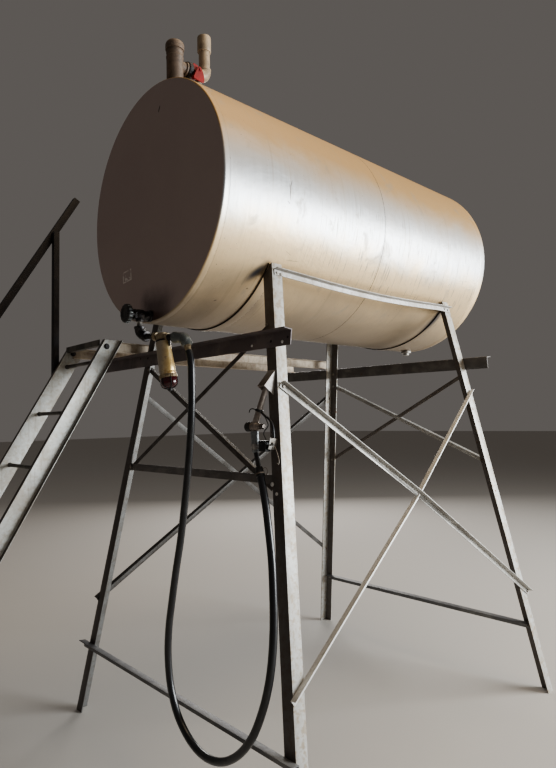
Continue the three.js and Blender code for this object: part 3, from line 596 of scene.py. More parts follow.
def galvanised(name, pale, dull, rust=0.5, front_shade=0.55, stain=0.4):
    """Weathered zinc: spangle, chalky bloom, a little rust, and painted shade on faces turned towards -X,
    the side the ladder stands.
    """
    f = Finish(name)
    spangle = f.cells(70)
    bloom = f.noise(7, 6, 0.62, None, 0.4)
    streak = f.noise(1.0, 4, 0.6, f.stretched(45, 45, 3.5))
    mottle = f.noise(38, 5, 0.65)
    brown = (0.84 * dull[0], 0.72 * dull[1], 0.58 * dull[2])
    eaten = f.total(f.noise(16, 7, 0.7), f.product(f.noise(2.3, 2), 0.30))
    rusty = f.product(f.band(eaten, 0.80, 0.86), rust)
    facing = f.axis("X", f.node("TexCoord").outputs["Normal"])
    tone = f.layered(
        f.mix(spangle, pale, shade(pale, 0.88)),
        (dull, f.band(bloom, 0.42, 0.64)),
        (brown, f.band(mottle, 0.48, 0.62), stain),
        (shade(brown, 0.66), f.band(streak, 0.54, 0.74), 0.45),
        ((0.25, 0.11, 0.045), rusty),
        # Painted shade: faces turned towards -X are darkened.
        ((0.075, 0.060, 0.055), f.band(facing, -0.55, -0.85), front_shade),
    )
    rough = f.blend(rusty, f.blend(bloom, 0.44, 0.62), 0.85)
    f.bump(f.total(f.product(bloom, 0.5), f.product(rusty, 0.6)), 0.35, 0.0015)
    return f.done(tone, rough, f.blend(rusty, 0.35, 0.0))


def dark_steel(name, base, worn, rust=0.6):
    """Bare or painted dark steel with rubbed lighter patches and brown rust."""
    f = Finish(name)
    clouds = f.noise(9, 6, 0.62, None, 0.4)
    grain = f.noise(90, 3, 0.6, f.stretched(1, 0.3, 1))
    rusty = f.product(f.band(f.noise(21, 6, 0.7), 0.60, 0.68), rust)
    tone = f.mix(f.band(clouds, 0.42, 0.66), base, worn)
    tone = f.layered(tone, (shade(base, 0.6), grain, 0.25), ((0.17, 0.075, 0.035), rusty))
    rough = f.blend(rusty, f.blend(clouds, 0.46, 0.64), 0.85)
    f.bump(f.total(f.product(clouds, 0.4), f.product(rusty, 0.5)), 0.35, 0.001)
    return f.done(tone, rough, f.blend(rusty, 0.25, 0.0))


def oily_iron(name, base, edge, metallic=0.55):
    """Cast fittings, wet with old oil, rubbed bright in places."""
    f = Finish(name, Coat_Weight=0.25, Coat_Roughness=0.25)
    clouds = f.noise(38, 5, 0.6, None, 0.3)
    cast = f.noise(260, 2, 0.5)
    tone = f.mix(f.band(clouds, 0.48, 0.70), base, edge)
    f.bump(f.total(f.product(cast, 0.5), clouds), 0.3, 0.0008)
    return f.done(tone, f.blend(clouds, 0.30, 0.52), metallic)


def nozzle_metal():
    """The nozzle's casting: brown spout and valve body over a dark grey barrel, rubbed on the edges."""
    f = Finish("nozzle_metal", Coat_Weight=0.2, Coat_Roughness=0.3)
    clouds = f.noise(34, 5, 0.6, None, 0.3)
    brown = f.mix(f.band(clouds, 0.45, 0.70), (0.27, 0.230, 0.205), (0.47, 0.415, 0.375))
    grey = f.mix(f.band(clouds, 0.45, 0.70), (0.22, 0.235, 0.245), (0.48, 0.50, 0.505))
    low = f.band(f.axis("Z"), 1.678, 1.668)
    # The stem's near end is darkened, and the stripes on it are painted shade in its thread grooves.
    stem = at(0, -574, 0)
    threads = f.band(f.math("SINE", f.product(f.axis("Y"), 900.0)), -0.2, 0.4)
    tip = f.product(f.band(f.axis("Y"), stem.y, stem.y - 0.004), f.blend(threads, 0.55, 0.9))
    tip = f.product(tip, f.band(f.axis("Z"), 1.73, 1.71))
    brown = f.mix(tip, brown, (0.05, 0.04, 0.035))
    f.bump(clouds, 0.3, 0.0008)
    return f.done(f.mix(low, brown, grey), f.blend(clouds, 0.30, 0.50), 0.6)


def gold_can():
    """Yellow-passivated steel of the filter can, gold, with painted shade in grey-beige on the side turned
    away from the key light.
    """
    f = Finish("gold_can", Coat_Weight=0.15, Coat_Roughness=0.3)
    clouds = f.noise(22, 5, 0.62, None, 0.5)
    runs = f.noise(1.0, 4, 0.6, f.stretched(70, 70, 7))
    stains = f.noise(17, 4, 0.6, None, 0.8)
    axis = at(-17, -153, 0)
    toward_x = f.product(f.total(f.axis("X"), -axis.x), 0.73)
    toward_y = f.product(f.total(f.axis("Y"), -axis.y), -0.683)
    shade_side = f.total(toward_x, toward_y, f.product(clouds, 0.030))
    tone = f.layered(
        f.mix(f.band(clouds, 0.38, 0.62), (0.80, 0.57, 0.25), (0.88, 0.72, 0.42)),
        ((0.58, 0.30, 0.07), f.band(runs, 0.52, 0.70), 0.75),
        ((0.27, 0.13, 0.14), f.band(stains, 0.56, 0.68), 0.55),
        ((0.20, 0.14, 0.09), f.band(f.noise(60, 4, 0.6), 0.62, 0.72), 0.5),
        # Painted shade: grey-beige on the side turned away from the key light, towards -X and +Y.
        ((0.40, 0.350, 0.290), f.band(shade_side, 0.036, -0.006), 0.88),
    )
    f.bump(f.total(clouds, f.product(runs, 0.4)), 0.25, 0.0008)
    return f.done(tone, f.blend(clouds, 0.28, 0.44), 0.50)


def red_bowl():
    """Dark red clear plastic with fuel standing in it."""
    f = Finish("red_bowl", Transmission_Weight=0.15, IOR=1.5, Coat_Weight=0.6, Coat_Roughness=0.08)
    low = f.noise(35, 3, 0.5)
    tone = f.mix(low, (0.095, 0.004, 0.009), (0.040, 0.002, 0.005))
    return f.done(tone, f.blend(low, 0.12, 0.26), 0.0)


def hose_rubber():
    """Smooth black hose cover, polished by handling, dusty in places."""
    f = Finish("hose_rubber", Coat_Weight=0.45, Coat_Roughness=0.20)
    dust = f.noise(11, 5, 0.6, None, 0.3)
    rub = f.noise(1.0, 3, 0.5, f.stretched(120, 120, 10))
    share = f.product(f.band(dust, 0.52, 0.74), 0.28)
    color = f.mix(share, (0.012, 0.013, 0.016), (0.070, 0.068, 0.066))
    f.bump(f.total(f.product(rub, 0.4), dust), 0.2, 0.0008)
    return f.done(color, f.blend(dust, 0.28, 0.46), 0.0)


def painted(name, tone, dark, rough=0.42, metallic=0.0):
    """Plain paint or plastic with dark scuffs and faded patches."""
    f = Finish(name)
    clouds = f.noise(14, 6, 0.62, None, 0.4)
    color = f.mix(f.band(clouds, 0.42, 0.68), tone, dark)
    scuffs = f.band(f.noise(70, 4, 0.65), 0.60, 0.68)
    color = f.over(color, shade(dark, 0.40), scuffs, 0.5)
    f.bump(clouds, 0.2, 0.001)
    return f.done(color, f.blend(clouds, rough, rough + 0.16), metallic)


TANK = tank_paint("tank_paint")
# The shell's paint with painted shadow lines along the straps.
STRAP_SHADOWED_PAINT = tank_paint("strap_shadowed_paint", strap_shadows=True)
# The flat end's paint, darker and browner as painted shade.
SHADED_TANK_END = end_paint()
REAR_END = painted("rear_end_paint", (0.47, 0.435, 0.385), (0.42, 0.385, 0.335), 0.46, 0.35)
LEG_ZINC = galvanised("leg_zinc", (0.56, 0.56, 0.54), (0.45, 0.43, 0.39), rust=0.9, front_shade=0.85, stain=0.75)
# The far front leg's zinc, darker as painted shade.
SHADED_FAR_LEG_ZINC = galvanised("shaded_far_leg_zinc", (0.25, 0.25, 0.245), (0.18, 0.175, 0.168), front_shade=0.8)
# The front face's braces, nearly black as painted shade.
SHADED_FRONT_BRACE = galvanised("shaded_front_brace", (0.16, 0.15, 0.14), (0.09, 0.083, 0.075))
STRINGER_ZINC = galvanised("stringer_zinc", (0.55, 0.56, 0.54), (0.42, 0.40, 0.36), front_shade=0.9)
BRACE_ZINC = galvanised("brace_zinc", (0.58, 0.575, 0.55), (0.39, 0.38, 0.36), front_shade=0.15, stain=0.25)
# The near face's second brace, paler as painted light.
LIT_PALE_BRACE = galvanised(
    "lit_pale_brace", (0.84, 0.835, 0.82), (0.72, 0.72, 0.70), rust=0.3, front_shade=0.0, stain=0.1
)
# The far face's braces, darker as painted shade.
SHADED_FAR_ZINC = galvanised("shaded_far_zinc", (0.13, 0.125, 0.12), (0.08, 0.075, 0.07))
# The second rear brace, darker as painted shade.
SHADED_REAR_BRACE = galvanised("shaded_rear_brace", (0.24, 0.22, 0.20), (0.16, 0.14, 0.125), front_shade=0.2)
RAIL_ZINC = galvanised("rail_zinc", (0.52, 0.51, 0.49), (0.38, 0.36, 0.33), rust=0.3)
HOOD_STEEL = galvanised("hood_steel", (0.60, 0.59, 0.57), (0.42, 0.35, 0.32), rust=0.8, front_shade=0.95)
BEARER_ZINC = galvanised("bearer_zinc", (0.54, 0.47, 0.38), (0.36, 0.30, 0.24))
SEAM_STEEL = dark_steel("seam_steel", (0.045, 0.036, 0.030), (0.12, 0.095, 0.075))
BEAM_STEEL = dark_steel("beam_steel", (0.145, 0.122, 0.125), (0.215, 0.182, 0.175), rust=0.3)
GIRT_STEEL = dark_steel("girt_steel", (0.140, 0.130, 0.125), (0.215, 0.200, 0.188), rust=0.4)
REAR_BEAM = dark_steel("rear_beam", (0.115, 0.108, 0.104), (0.19, 0.175, 0.165), rust=0.35)
LOW_GIRT = dark_steel("low_girt", (0.150, 0.150, 0.155), (0.24, 0.24, 0.235), rust=0.3)
RUNG_STEEL = dark_steel("rung_steel", (0.075, 0.070, 0.062), (0.19, 0.175, 0.155), rust=0.4)
HAND_PAINT = painted("handrail_paint", (0.011, 0.010, 0.014), (0.028, 0.023, 0.024), 0.55, 0.0)
IRON = oily_iron("oily_iron", (0.022, 0.020, 0.022), (0.10, 0.09, 0.088))
NIPPLE_METAL = oily_iron("nipple_metal", (0.30, 0.285, 0.27), (0.62, 0.60, 0.57), metallic=0.8)
GREY_IRON = oily_iron("grey_iron", (0.140, 0.155, 0.152), (0.33, 0.350, 0.338), metallic=0.5)
NOZZLE_METAL = nozzle_metal()
BLACK_PARTS = painted("black_parts", (0.014, 0.014, 0.016), (0.045, 0.042, 0.041), 0.36)
CAN = gold_can()
HEAD_BRASS = oily_iron("head_brass", (0.30, 0.235, 0.15), (0.50, 0.41, 0.27))
BOWL = red_bowl()
HOSE_RUBBER = hose_rubber()
PIPE = painted("pipe_grey", (0.185, 0.135, 0.100), (0.11, 0.082, 0.063), 0.50, 0.1)
RISER_PIPE = painted("riser_pipe", (0.43, 0.34, 0.235), (0.29, 0.225, 0.155), 0.44, 0.15)
RED_PAINT = painted("red_paint", (0.30, 0.012, 0.013), (0.20, 0.009, 0.010), 0.55)
FASTENER = galvanised("fastener_zinc", (0.50, 0.47, 0.43), (0.26, 0.21, 0.17), rust=0.8)
# Pale zinc brightened near white as a painted glint, for bolts on the shaded front face.
GLINTING_BOLT = oily_iron("glinting_bolt", (0.85, 0.84, 0.82), (0.92, 0.91, 0.90), metallic=0.2)

# Hose: the cord comes first, since its route is fixed by the CAD. It leaves the outlet's elbow, hangs in a
# loop nearly to the floor and comes up to the nozzle's tail.
HOSE_DIAMETER = 0.034
HOSE_PLACES = [
    (20.6, -293.2, 2052.6), (23, -302, 2024), (23.5, -309, 1985), (22, -314, 1905),
    (20, -316, 1821), (19, -307, 1682), (18, -290, 1544), (16, -260, 1359),
    (14, -222, 1171), (12, -185, 1027), (10, -152, 883), (8, -124, 739),
    (6, -120, 613), (5, -145, 479), (4, -204, 373), (4, -303, 299),
    (5, -403, 274), (8, -513, 291), (14, -620, 355), (24, -705, 454),
    (42, -755, 577), (60, -776, 690), (78, -778, 802), (96, -767, 912),
    (114, -747, 1024), (132, -722, 1138), (150, -686, 1255), (166, -652, 1355),
    (180, -617, 1437), (187, -594, 1487),
]
HOSE_ROUTE = [at(*place) for place in HOSE_PLACES]


def make_hose():
    route = smooth_path(HOSE_ROUTE, per_span=7)
    bm = bmesh.new()
    add_sweep(bm, route, HOSE_DIAMETER / 2, sides=24)
    return piece("hose_cover", bm, HOSE_RUBBER, "hose", replaces=True, sharp=60), route


# Tank shell and ends

TANK_SEGMENTS = 256


def arc_profile(centre_r, centre_h, radius, start, end, steps):
    """Points of a round corner in a turned profile, between two angles in degrees."""
    points = []
    for i in range(steps + 1):
        a = math.radians(start + (end - start) * i / steps)
        points.append((centre_r + radius * math.sin(a), centre_h - radius * math.cos(a)))
    return points


def make_course(name, node, x0, x1):
    """A rolled course, as a closed loop turned round the tank's axis, with its edges just eased."""
    length = x1 - x0
    inner = TANK_R - TANK_WALL
    eased = TANK_R - 0.12
    stations = 14
    loop = [(inner, 0), (eased, 0), (TANK_R, 0.2), (TANK_R, 1.4)]
    loop += [(TANK_R, length * i / stations) for i in range(1, stations)]
    loop += [(TANK_R, length - 1.4), (TANK_R, length - 0.2), (eased, length), (inner, length)]
    bm = bmesh.new()
    add_lathe(bm, loop, at(x0, 0, TANK_AXIS_Z), X_AXIS, TANK_SEGMENTS, looped=True)
    bmesh.ops.recalc_face_normals(bm, faces=bm.faces)
    piece(name, bm, TANK, node, replaces=True, sharp=50)


def make_end(name, node, x, direction, knuckle, flange, material):
    """A pressed end; its face has one finish and its rolled edge and flange have the shell's."""
    centre = at(x, 0, TANK_AXIS_Z)
    flat = TANK_R - knuckle
    profile = [(flat * i / 12, 0.0) for i in range(12)]
    profile += arc_profile(flat, knuckle, knuckle, 0, 90, 8)
    profile += [(TANK_R, knuckle + 0.6), (TANK_R, flange - 0.2)]
    profile += [(TANK_R - 0.12, flange), (TANK_R - TANK_WALL, flange)]
    profile += arc_profile(flat, knuckle, knuckle - TANK_WALL, 90, 0, 6)
    profile.append((0, float(TANK_WALL)))
    bm = bmesh.new()
    add_lathe(bm, profile, centre, direction, TANK_SEGMENTS)
    bmesh.ops.remove_doubles(bm, verts=bm.verts, dist=3e-5)
    bmesh.ops.recalc_face_normals(bm, faces=bm.faces)
    obj = piece(name, bm, material, node, replaces=True, sharp=50)
    obj.data.materials.append(TANK)
    face_reach = (TANK_R - knuckle * 0.55) * MM
    for polygon in obj.data.polygons:
        middle = polygon.center - centre
        if Vector((middle.y, middle.z)).length > face_reach:
            polygon.material_index = 1


def ring_weld(bm, x, radius, size, seed, steps=420):
    """A weld bead round the tank, with its ripples."""
    points = []
    radii = []
    for i in range(steps + 1):
        a = TAU * i / steps
        wobble = noise.noise(Vector((a * 3, seed, 0))) * 1.5
        r = radius + 0.15 * size
        points.append(at(x + wobble, r * math.sin(a), TANK_AXIS_Z + r * math.cos(a)))
        ripple = 0.16 * math.sin(i * 2.1) + 0.25 * noise.noise(Vector((a * 40, seed, 5)))
        radii.append(size * MM * (1 + ripple))
    add_sweep(bm, points, radii, sides=6)


def make_tank():
    make_course("shell_front", "tank_course_front", FRONT_FLANGE + SEAT, SEAM_X)
    make_course("shell_rear", "tank_course_rear", SEAM_X + 3.0, TANK_LENGTH - REAR_FLANGE - SEAT)
    make_end("end_front", "tank_end_front", 0, X_AXIS, FRONT_KNUCKLE, FRONT_FLANGE, SHADED_TANK_END)
    make_end("end_rear", "tank_end_rear", TANK_LENGTH, -X_AXIS, REAR_KNUCKLE, REAR_FLANGE, REAR_END)
    bm = bmesh.new()
    ring_weld(bm, SEAM_X + 1.5, TANK_R - 2.2, 2.4, 7)
    piece("seam_weld", bm, SEAM_STEEL, "tank_course_front", sharp=80)


# Fasteners


def add_bolt(bm, spot, out, size=12, grip=None):
    """A hexagon bolt head on a washer at a spot, and its nut and thread on the other side of the grip."""
    across = size * 0.92
    washer = [(size * 1.08, 0), (size * 1.08, 1.6), (size * 0.98, 2.0)]
    head = [(across, 2.0), (across, size * 0.52), (across * 0.86, size * 0.66), (across * 0.2, size * 0.66)]
    add_lathe(bm, washer, spot, out, 18)
    add_lathe(bm, head, spot, out, 6, turn=spot.x * 7 + spot.z * 5)
    if grip:
        back = spot - out * grip * MM
        add_lathe(bm, [(size * 1.05, 0), (size * 1.05, 1.8)], back, -out, 16)
        nut = [(across * 0.9, 1.8), (across, 3.0), (across, size * 0.8), (across * 0.88, size * 0.94)]
        add_lathe(bm, nut, back, -out, 6, turn=spot.x * 3 + spot.z * 9)
        stud = [(size * 0.5, 0), (size * 0.5, size * 1.35), (size * 0.36, size * 1.5)]
        add_lathe(bm, stud, back, -out, 12)


def part_way(a, b, distance):
    return a + (b - a).normalized() * distance * MM


# How far the outer faces of the beams' webs, and of the girts and rails, lie off the stand's face
BEAM_OFF = 6.3
GIRT_OFF = 4.3


def rear_beam_z(y):
    """Height of the foot of the rear cross-beam, which is slightly out of level."""
    return 2026 + (y + 750) / 1860 * 23


# How far the braces' flanges lie off their face: the under brace on the leg, the over brace across it
UNDER = 3.3
OVER = 6.7
CROSSING = (1211, 1300)


def bolt_braces(bm, face, under, over, inset):
    """A bolt near both ends of each of two crossing braces, given as places on a face."""
    for line, off in ((under, UNDER), (over, OVER)):
        for end, inner in ((line[0], line[1]), (line[-1], line[-2])):
            spot = part_way(face.at(*end, off), face.at(*inner, off), inset)
            add_bolt(bm, spot, face.out, 9, off + LEG_T)


def make_stand_bolts():
    bm = bmesh.new()
    near_under = [(2018, 1880), CROSSING, (112, 604)]
    near_over = [(292, 1882), CROSSING, (2212, 592)]
    bolt_braces(bm, NEAR, near_under, near_over, 20)
    bolt_braces(bm, FAR, [(298, 1900), (2188, 618)], [(2020, 1896), (120, 652)], 20)
    bolt_braces(bm, REAR, [(590, 1990), (-660, 1425)], [(-590, 2005), (690, 1380)], 18)
    add_bolt(bm, NEAR.at(*CROSSING, OVER), NEAR.out, 8, 6.5)
    for top, foot in (((560, 2046), (-628, 1418)), ((-530, 2184), (655, 1446))):
        add_bolt(bm, part_way(FRONT.at(*top), FRONT.at(*foot), 20), FRONT.out, 8, 17)
    girts = [(FRONT, -872, 378, GIRT_OFF, 9), (FRONT, 862, 378, GIRT_OFF, 9)]
    girts += [(REAR, -842, 388, 0, 9), (REAR, 842, 388, 0, 9), (FRONT, 628, 1458, 0, 8)]
    rail_ends = ((1925, 2424), (1888, 2428), (378, 2430), (402, 2426))
    rails = [(face, x, z, GIRT_OFF, 8) for face in (NEAR, FAR) for x, z in rail_ends]
    for face, across, z, off, size in girts + rails:
        add_bolt(bm, face.at(across, z, off), face.out, size, 11)
    for y in (-560, 560):
        add_bolt(bm, REAR.at(y, rear_beam_z(y) + 37, BEAM_OFF), REAR.out, 10, 13)
    piece("stand_bolts", bm, FASTENER, "leg_front_near", sharp=30)
    # Bolt heads on the shaded front face, pale zinc brightened near white as a painted glint.
    bm = bmesh.new()
    add_bolt(bm, FRONT.at(-424, 2080, BEAM_OFF), FRONT.out, 6, 13)
    add_bolt(bm, FRONT.at(-638, 2077, BEAM_OFF), FRONT.out, 7, 13)
    add_bolt(bm, FRONT.at(-640, 1437, GIRT_OFF), FRONT.out, 9, 11)
    add_bolt(bm, FRONT.at(-668, 1398), FRONT.out, 7, 7)
    piece("glinting_bolts", bm, GLINTING_BOLT, "cross_beam_front", sharp=30)
    # Black discs on the front beam's web where it has holes: painted shade standing in for the dark inside
    # them.
    bm = bmesh.new()
    for y, z, size in ((-559, 2087, 7), (-671, 2095, 6), (552, 2108, 7), (640, 2112, 6)):
        hole = [(size, 0.1), (size, 0.5), (size * 0.6, 0.6)]
        add_lathe(bm, hole, FRONT.at(y, z, BEAM_OFF), FRONT.out, 20)
    piece("beam_hole_shades", bm, HAND_PAINT, "cross_beam_front", sharp=30)


def make_stand():
    dress("leg_front_near leg_rear_near leg_rear_far", LEG_ZINC, 1.2)
    dress("leg_front_far", SHADED_FAR_LEG_ZINC, 1.2)
    dress("top_rail_near top_rail_far", RAIL_ZINC, 0.7, 50)
    dress("saddle_front saddle_rear", STRAP_SHADOWED_PAINT, 0.8, 50)
    dress("cross_beam_front", BEAM_STEEL, 1.0)
    dress("cross_beam_rear", REAR_BEAM, 1.0)
    dress("girt_front_mid", GIRT_STEEL, 1.0)
    dress("girt_front_low girt_rear_low", LOW_GIRT, 0.8)
    dress("brace_near_a", BRACE_ZINC, 0.6)
    dress("brace_near_b", LIT_PALE_BRACE, 0.6)
    dress("brace_far_a brace_far_b", SHADED_FAR_ZINC, 0.6)
    dress("brace_front_a brace_front_b", SHADED_FRONT_BRACE, 0.6)
    dress("brace_rear_a", BRACE_ZINC, 0.6)
    dress("brace_rear_b", SHADED_REAR_BRACE, 0.6)
    dress("bearer_near bearer_far", BEARER_ZINC, 0.8)
    dress("drain_boss", RAIL_ZINC, 1.0)
    dress("nozzle_hood", HOOD_STEEL, 0.5)
    dress("hasp", RAIL_ZINC, 0.4)
    make_stand_bolts()


# Ladder and handrail


def stringer_x(z):
    return LADDER_TOP_X - (LADDER_TOP_Z - z) / LADDER_SLOPE


def make_rung(number, near, far, welds):
    """A round rung, worn thinner in its middle, with a weld bead round both ends."""
    z = RUNG_LOW_Z + RUNG_PITCH * (number - 1)
    x = stringer_x(z) + STRINGER_RUN / 2
    stations = 30
    points = []
    radii = []
    for k in range(stations + 1):
        share = k / stations
        points.append(at(x, near + SEAT + (far - near - 2 * SEAT) * share, z))
        radii.append(MM * (RUNG_R - 0.5 * math.exp(-((share - 0.5) / 0.28) ** 2)))
    bm = bmesh.new()
    add_sweep(bm, points, radii, sides=24)
    piece(f"rung_{number}_bar", bm, RUNG_STEEL, f"rung_{number}", replaces=True, sharp=50)
    for y in (near + 1.2, far - 1.2):
        turns = [TAU * k / 24 for k in range(25)]
        bead = [at(x + 12.2 * math.cos(a), y, z + 12.2 * math.sin(a)) for a in turns]
        add_sweep(welds, bead, [MM * (2.4 + 0.5 * math.sin(k * 2.7)) for k in range(25)], sides=6)


def make_ladder():
    dress("ladder_stringer_near ladder_stringer_far", STRINGER_ZINC, 1.0)
    dress("ladder_top_bar", RUNG_STEEL, 0.7)
    welds = bmesh.new()
    for number in range(1, RUNGS + 1):
        make_rung(number, LADDER_NEAR_Y + STRINGER_T, LADDER_FAR_Y - STRINGER_T, welds)
    piece("rung_welds", welds, RUNG_STEEL, "rung_1", sharp=80)
    bolts = bmesh.new()
    z = 2172
    for y, out in ((LADDER_NEAR_Y, -Y_AXIS), (LADDER_FAR_Y, Y_AXIS)):
        add_bolt(bolts, at(stringer_x(z) + 46, y, z), out, 16, 8)
    piece("ladder_bolts", bolts, HAND_PAINT, "ladder_stringer_near", sharp=30)
    dress("handrail handrail_post_upper handrail_post_lower", HAND_PAINT, 0.8)


# Top fittings

STUB_X = 152
BRANCH_Z = 3632
BRANCH = at(STUB_X, 0, BRANCH_Z)
RED_STEM = at(STUB_X + 128, 0, BRANCH_Z)
CAP_Z = 3706.3
RISER_X = 346
RISER_BEND = 38
HANDLE_LEAF = [(234, 3570), (267, 3567), (306, 3563), (310, 3592)]
HANDLE_LEAF += [(304, 3618), (286, 3650), (273, 3650), (251, 3614)]
HANDLE_TAB = [(243, 3635), (262, 3626), (282, 3640), (279, 3662), (246, 3668)]


def make_vent():
    bm = bmesh.new()
    stub = [(62, 0.6), (62, 14), (60, 17), (54, 28), (50, 31), (44.5, 33)]
    stub += [(44.5, 216), (46.5, 219), (46.5, 224), (44.2, 227), (44.2, 242)]
    stub += [(46, 245), (46, 252), (43, 254), (43, 260.8)]
    add_lathe(bm, stub, at(STUB_X, 0, TANK_AXIS_Z + TANK_R), Z_AXIS, 64)
    branch = [(31, 30), (31, 56), (35, 58), (38, 60), (38, 68), (36.5, 69.9)]
    add_lathe(bm, branch, BRANCH, X_AXIS, 48)
    piece("vent_pipe", bm, PIPE, "vent_stub", replaces=True)
    cap = [(46, 0.2), (49, 1.5), (50, 4), (50, 13), (48.4, 15), (48.4, 17), (50, 19), (50, 29)]
    cap += [(49, 33), (46, 40), (42, 44.5), (36, 48), (26, 51), (12, 53), (0, 53.6)]
    turned("vent_dome", cap, at(STUB_X, 0, CAP_Z), Z_AXIS, 64, PIPE, "vent_cap", replaces=True)


def make_branch_valve():
    union = [(38, 70.4), (42, 72), (43, 75), (43, 93), (41, 97), (34, 98.5)]
    turned("valve_ring", union, BRANCH, X_AXIS, 96, HAND_PAINT, "branch_valve", lobes=16, depth=0.022)
    bm = bmesh.new()
    body = [(25, 97), (28, 101), (28, 112), (30, 116), (31, 127), (30, 138), (28, 142), (28, 153.6)]
    add_lathe(bm, body, BRANCH, X_AXIS, 40)
    stem = [(15, 20), (15, 36), (12, 38), (12, 43.5), (10, 44.8)]
    add_lathe(bm, stem, RED_STEM, -Y_AXIS, 24)
    add_lathe(bm, [(9, 50), (9, 55), (7, 57)], RED_STEM, -Y_AXIS, 6)
    add_plate(bm, HANDLE_LEAF, -45, 7, 2.2)
    add_plate(bm, HANDLE_TAB, -30, 6, 1.6)
    piece("valve_body", bm, RED_PAINT, "branch_valve", replaces=True)


def make_riser():
    bm = bmesh.new()
    start = RISER_X - RISER_BEND - STUB_X
    collar = [(34, 154.4), (37, 156), (37, start - 2), (35.5, start + 2)]
    add_lathe(bm, collar, BRANCH, X_AXIS, 48)
    bend = []
    for i in range(15):
        a = math.pi / 2 * i / 14
        x = RISER_X - RISER_BEND * (1 - math.sin(a))
        bend.append(at(x, 0, BRANCH_Z + RISER_BEND * (1 - math.cos(a))))
    add_sweep(bm, bend, 0.0352, sides=40)
    pipe = [(34, 36), (36.5, 37), (36.5, 48), (34, 50), (30.5, 51), (30.5, 146), (36.5, 148), (38, 151)]
    pipe += [(38, 231), (36.5, 234.8), (30.6, 234.8), (30.6, 184), (0, 183)]
    add_lathe(bm, pipe, at(RISER_X, 0, BRANCH_Z), Z_AXIS, 48)
    piece("riser_pipe", bm, RISER_PIPE, "riser", replaces=True)


# Outlet valve, filter and elbows

OUTLET_Y = 12
OUTLET_Z = 2256
OUTLET = at(0, OUTLET_Y, OUTLET_Z)
VALVE_X = -61
VALVE = at(VALVE_X, OUTLET_Y, OUTLET_Z)
WHEEL = at(-133, OUTLET_Y, OUTLET_Z)
WHEEL_LOBES = 15
ELBOW = at(VALVE_X, OUTLET_Y, 2151)
ELBOW_REACH = 34
RUN = Vector((0.2604, -0.9655, -0.125)).normalized()
RUN_SIDE = Vector((RUN.x, RUN.y, 0)).normalized()
LEAN = Vector((RUN_SIDE.x * 0.2, RUN_SIDE.y * 0.2, -1)).normalized()
HOSE_DROP = Vector((RUN_SIDE.x * 0.35, RUN_SIDE.y * 0.35, -1)).normalized()


def along(s, lift=0.0):
    return ELBOW + RUN * s * MM + Z_AXIS * lift * MM


def on_filter(s):
    return along(151, -4) + LEAN * s * MM


def thread_profile(radius, start, end, pitch=2.4, depth=0.9):
    points = []
    h = start
    while h < end - pitch / 2:
        points.append((radius - depth, h))
        points.append((radius, h + pitch / 2))
        h += pitch
    points.append((radius - depth, end))
    return points


def bend_points(start, ahead, leaving, radius, steps=14):
    """An arc that leaves a start along ahead and turns to the direction leaving."""
    turn = ahead.angle(leaving)
    inward = (leaving - ahead * ahead.dot(leaving)).normalized()
    centre = start + inward * radius * MM
    points = []
    for i in range(steps + 1):
        a = turn * i / steps
        points.append(centre - inward * radius * MM * math.cos(a) + ahead * radius * MM * math.sin(a))
    return points


def make_outlet():
    bm = bmesh.new()
    add_lathe(bm, [(30, 0.4), (30, 11), (28, 12.5), (24, 16), (23.5, 30)], OUTLET, -X_AXIS, 40)
    body = [(23, 28), (24, 38), (27, 44), (28.3, 52), (28.3, 70), (27, 78), (23, 84)]
    add_lathe(bm, body, OUTLET, -X_AXIS, 40)
    add_lathe(bm, [(25, 83), (27, 84.5), (27, 95), (25, 97)], OUTLET, -X_AXIS, 6, turn=0.3)
    add_lathe(bm, [(20, 96), (20, 112), (17, 115), (12, 119), (6, 120), (6, 139)], OUTLET, -X_AXIS, 24)
    add_lathe(bm, [(19, 4), (19, 27), (21, 28), (21, 33), (18, 34)], VALVE, -Z_AXIS, 8, turn=0.2)
    piece("valve_casting", bm, IRON, "outlet_valve", replaces=True)
    bm = bmesh.new()
    knob = [(6.3, -12), (24, -12), (38, -15.5), (43.5, -13), (45, -8), (45, 6), (41.5, 10.5), (30, 12)]
    knob += [(24, 9), (14, 8), (6.3, 8)]
    add_lathe(bm, knob, WHEEL, -X_AXIS, 120, lobes=WHEEL_LOBES, depth=0.030)
    piece("valve_knob", bm, BLACK_PARTS, "outlet_handwheel", replaces=True)
    bm = bmesh.new()
    for arm in spokes(-X_AXIS, WHEEL_LOBES):
        middle = WHEEL + arm * 0.0457 + X_AXIS * 0.002
        add_block(bm, middle, (19, 3.4, 5.5), (X_AXIS, arm, X_AXIS.cross(arm)), 1.2)
    piece("knob_ribs", bm, GREY_IRON, "outlet_handwheel", sharp=50)
    threads = thread_profile(13.8, 34.4, 59)
    turned("outlet_nipple", threads, VALVE, -Z_AXIS, 28, NIPPLE_METAL, "outlet_elbow")
    bm = bmesh.new()
    add_lathe(bm, [(25, 58.5), (27, 60), (27, 70), (24.5, 73)], VALVE, -Z_AXIS, 32)
    bend = bend_points(along(0, ELBOW_REACH), -Z_AXIS, RUN_SIDE, ELBOW_REACH)
    add_sweep(bm, bend, 0.0243, sides=32)
    add_lathe(bm, [(24.5, 31), (27, 34), (27, 48), (24.5, 50)], ELBOW, RUN, 32)
    pipe = [*thread_profile(14.3, 49, 62), (14, 63), (14, 84), *thread_profile(14.3, 85, 97.8)]
    add_lathe(bm, pipe, ELBOW, RUN, 32)
    piece("outlet_bend", bm, IRON, "outlet_elbow", replaces=True)


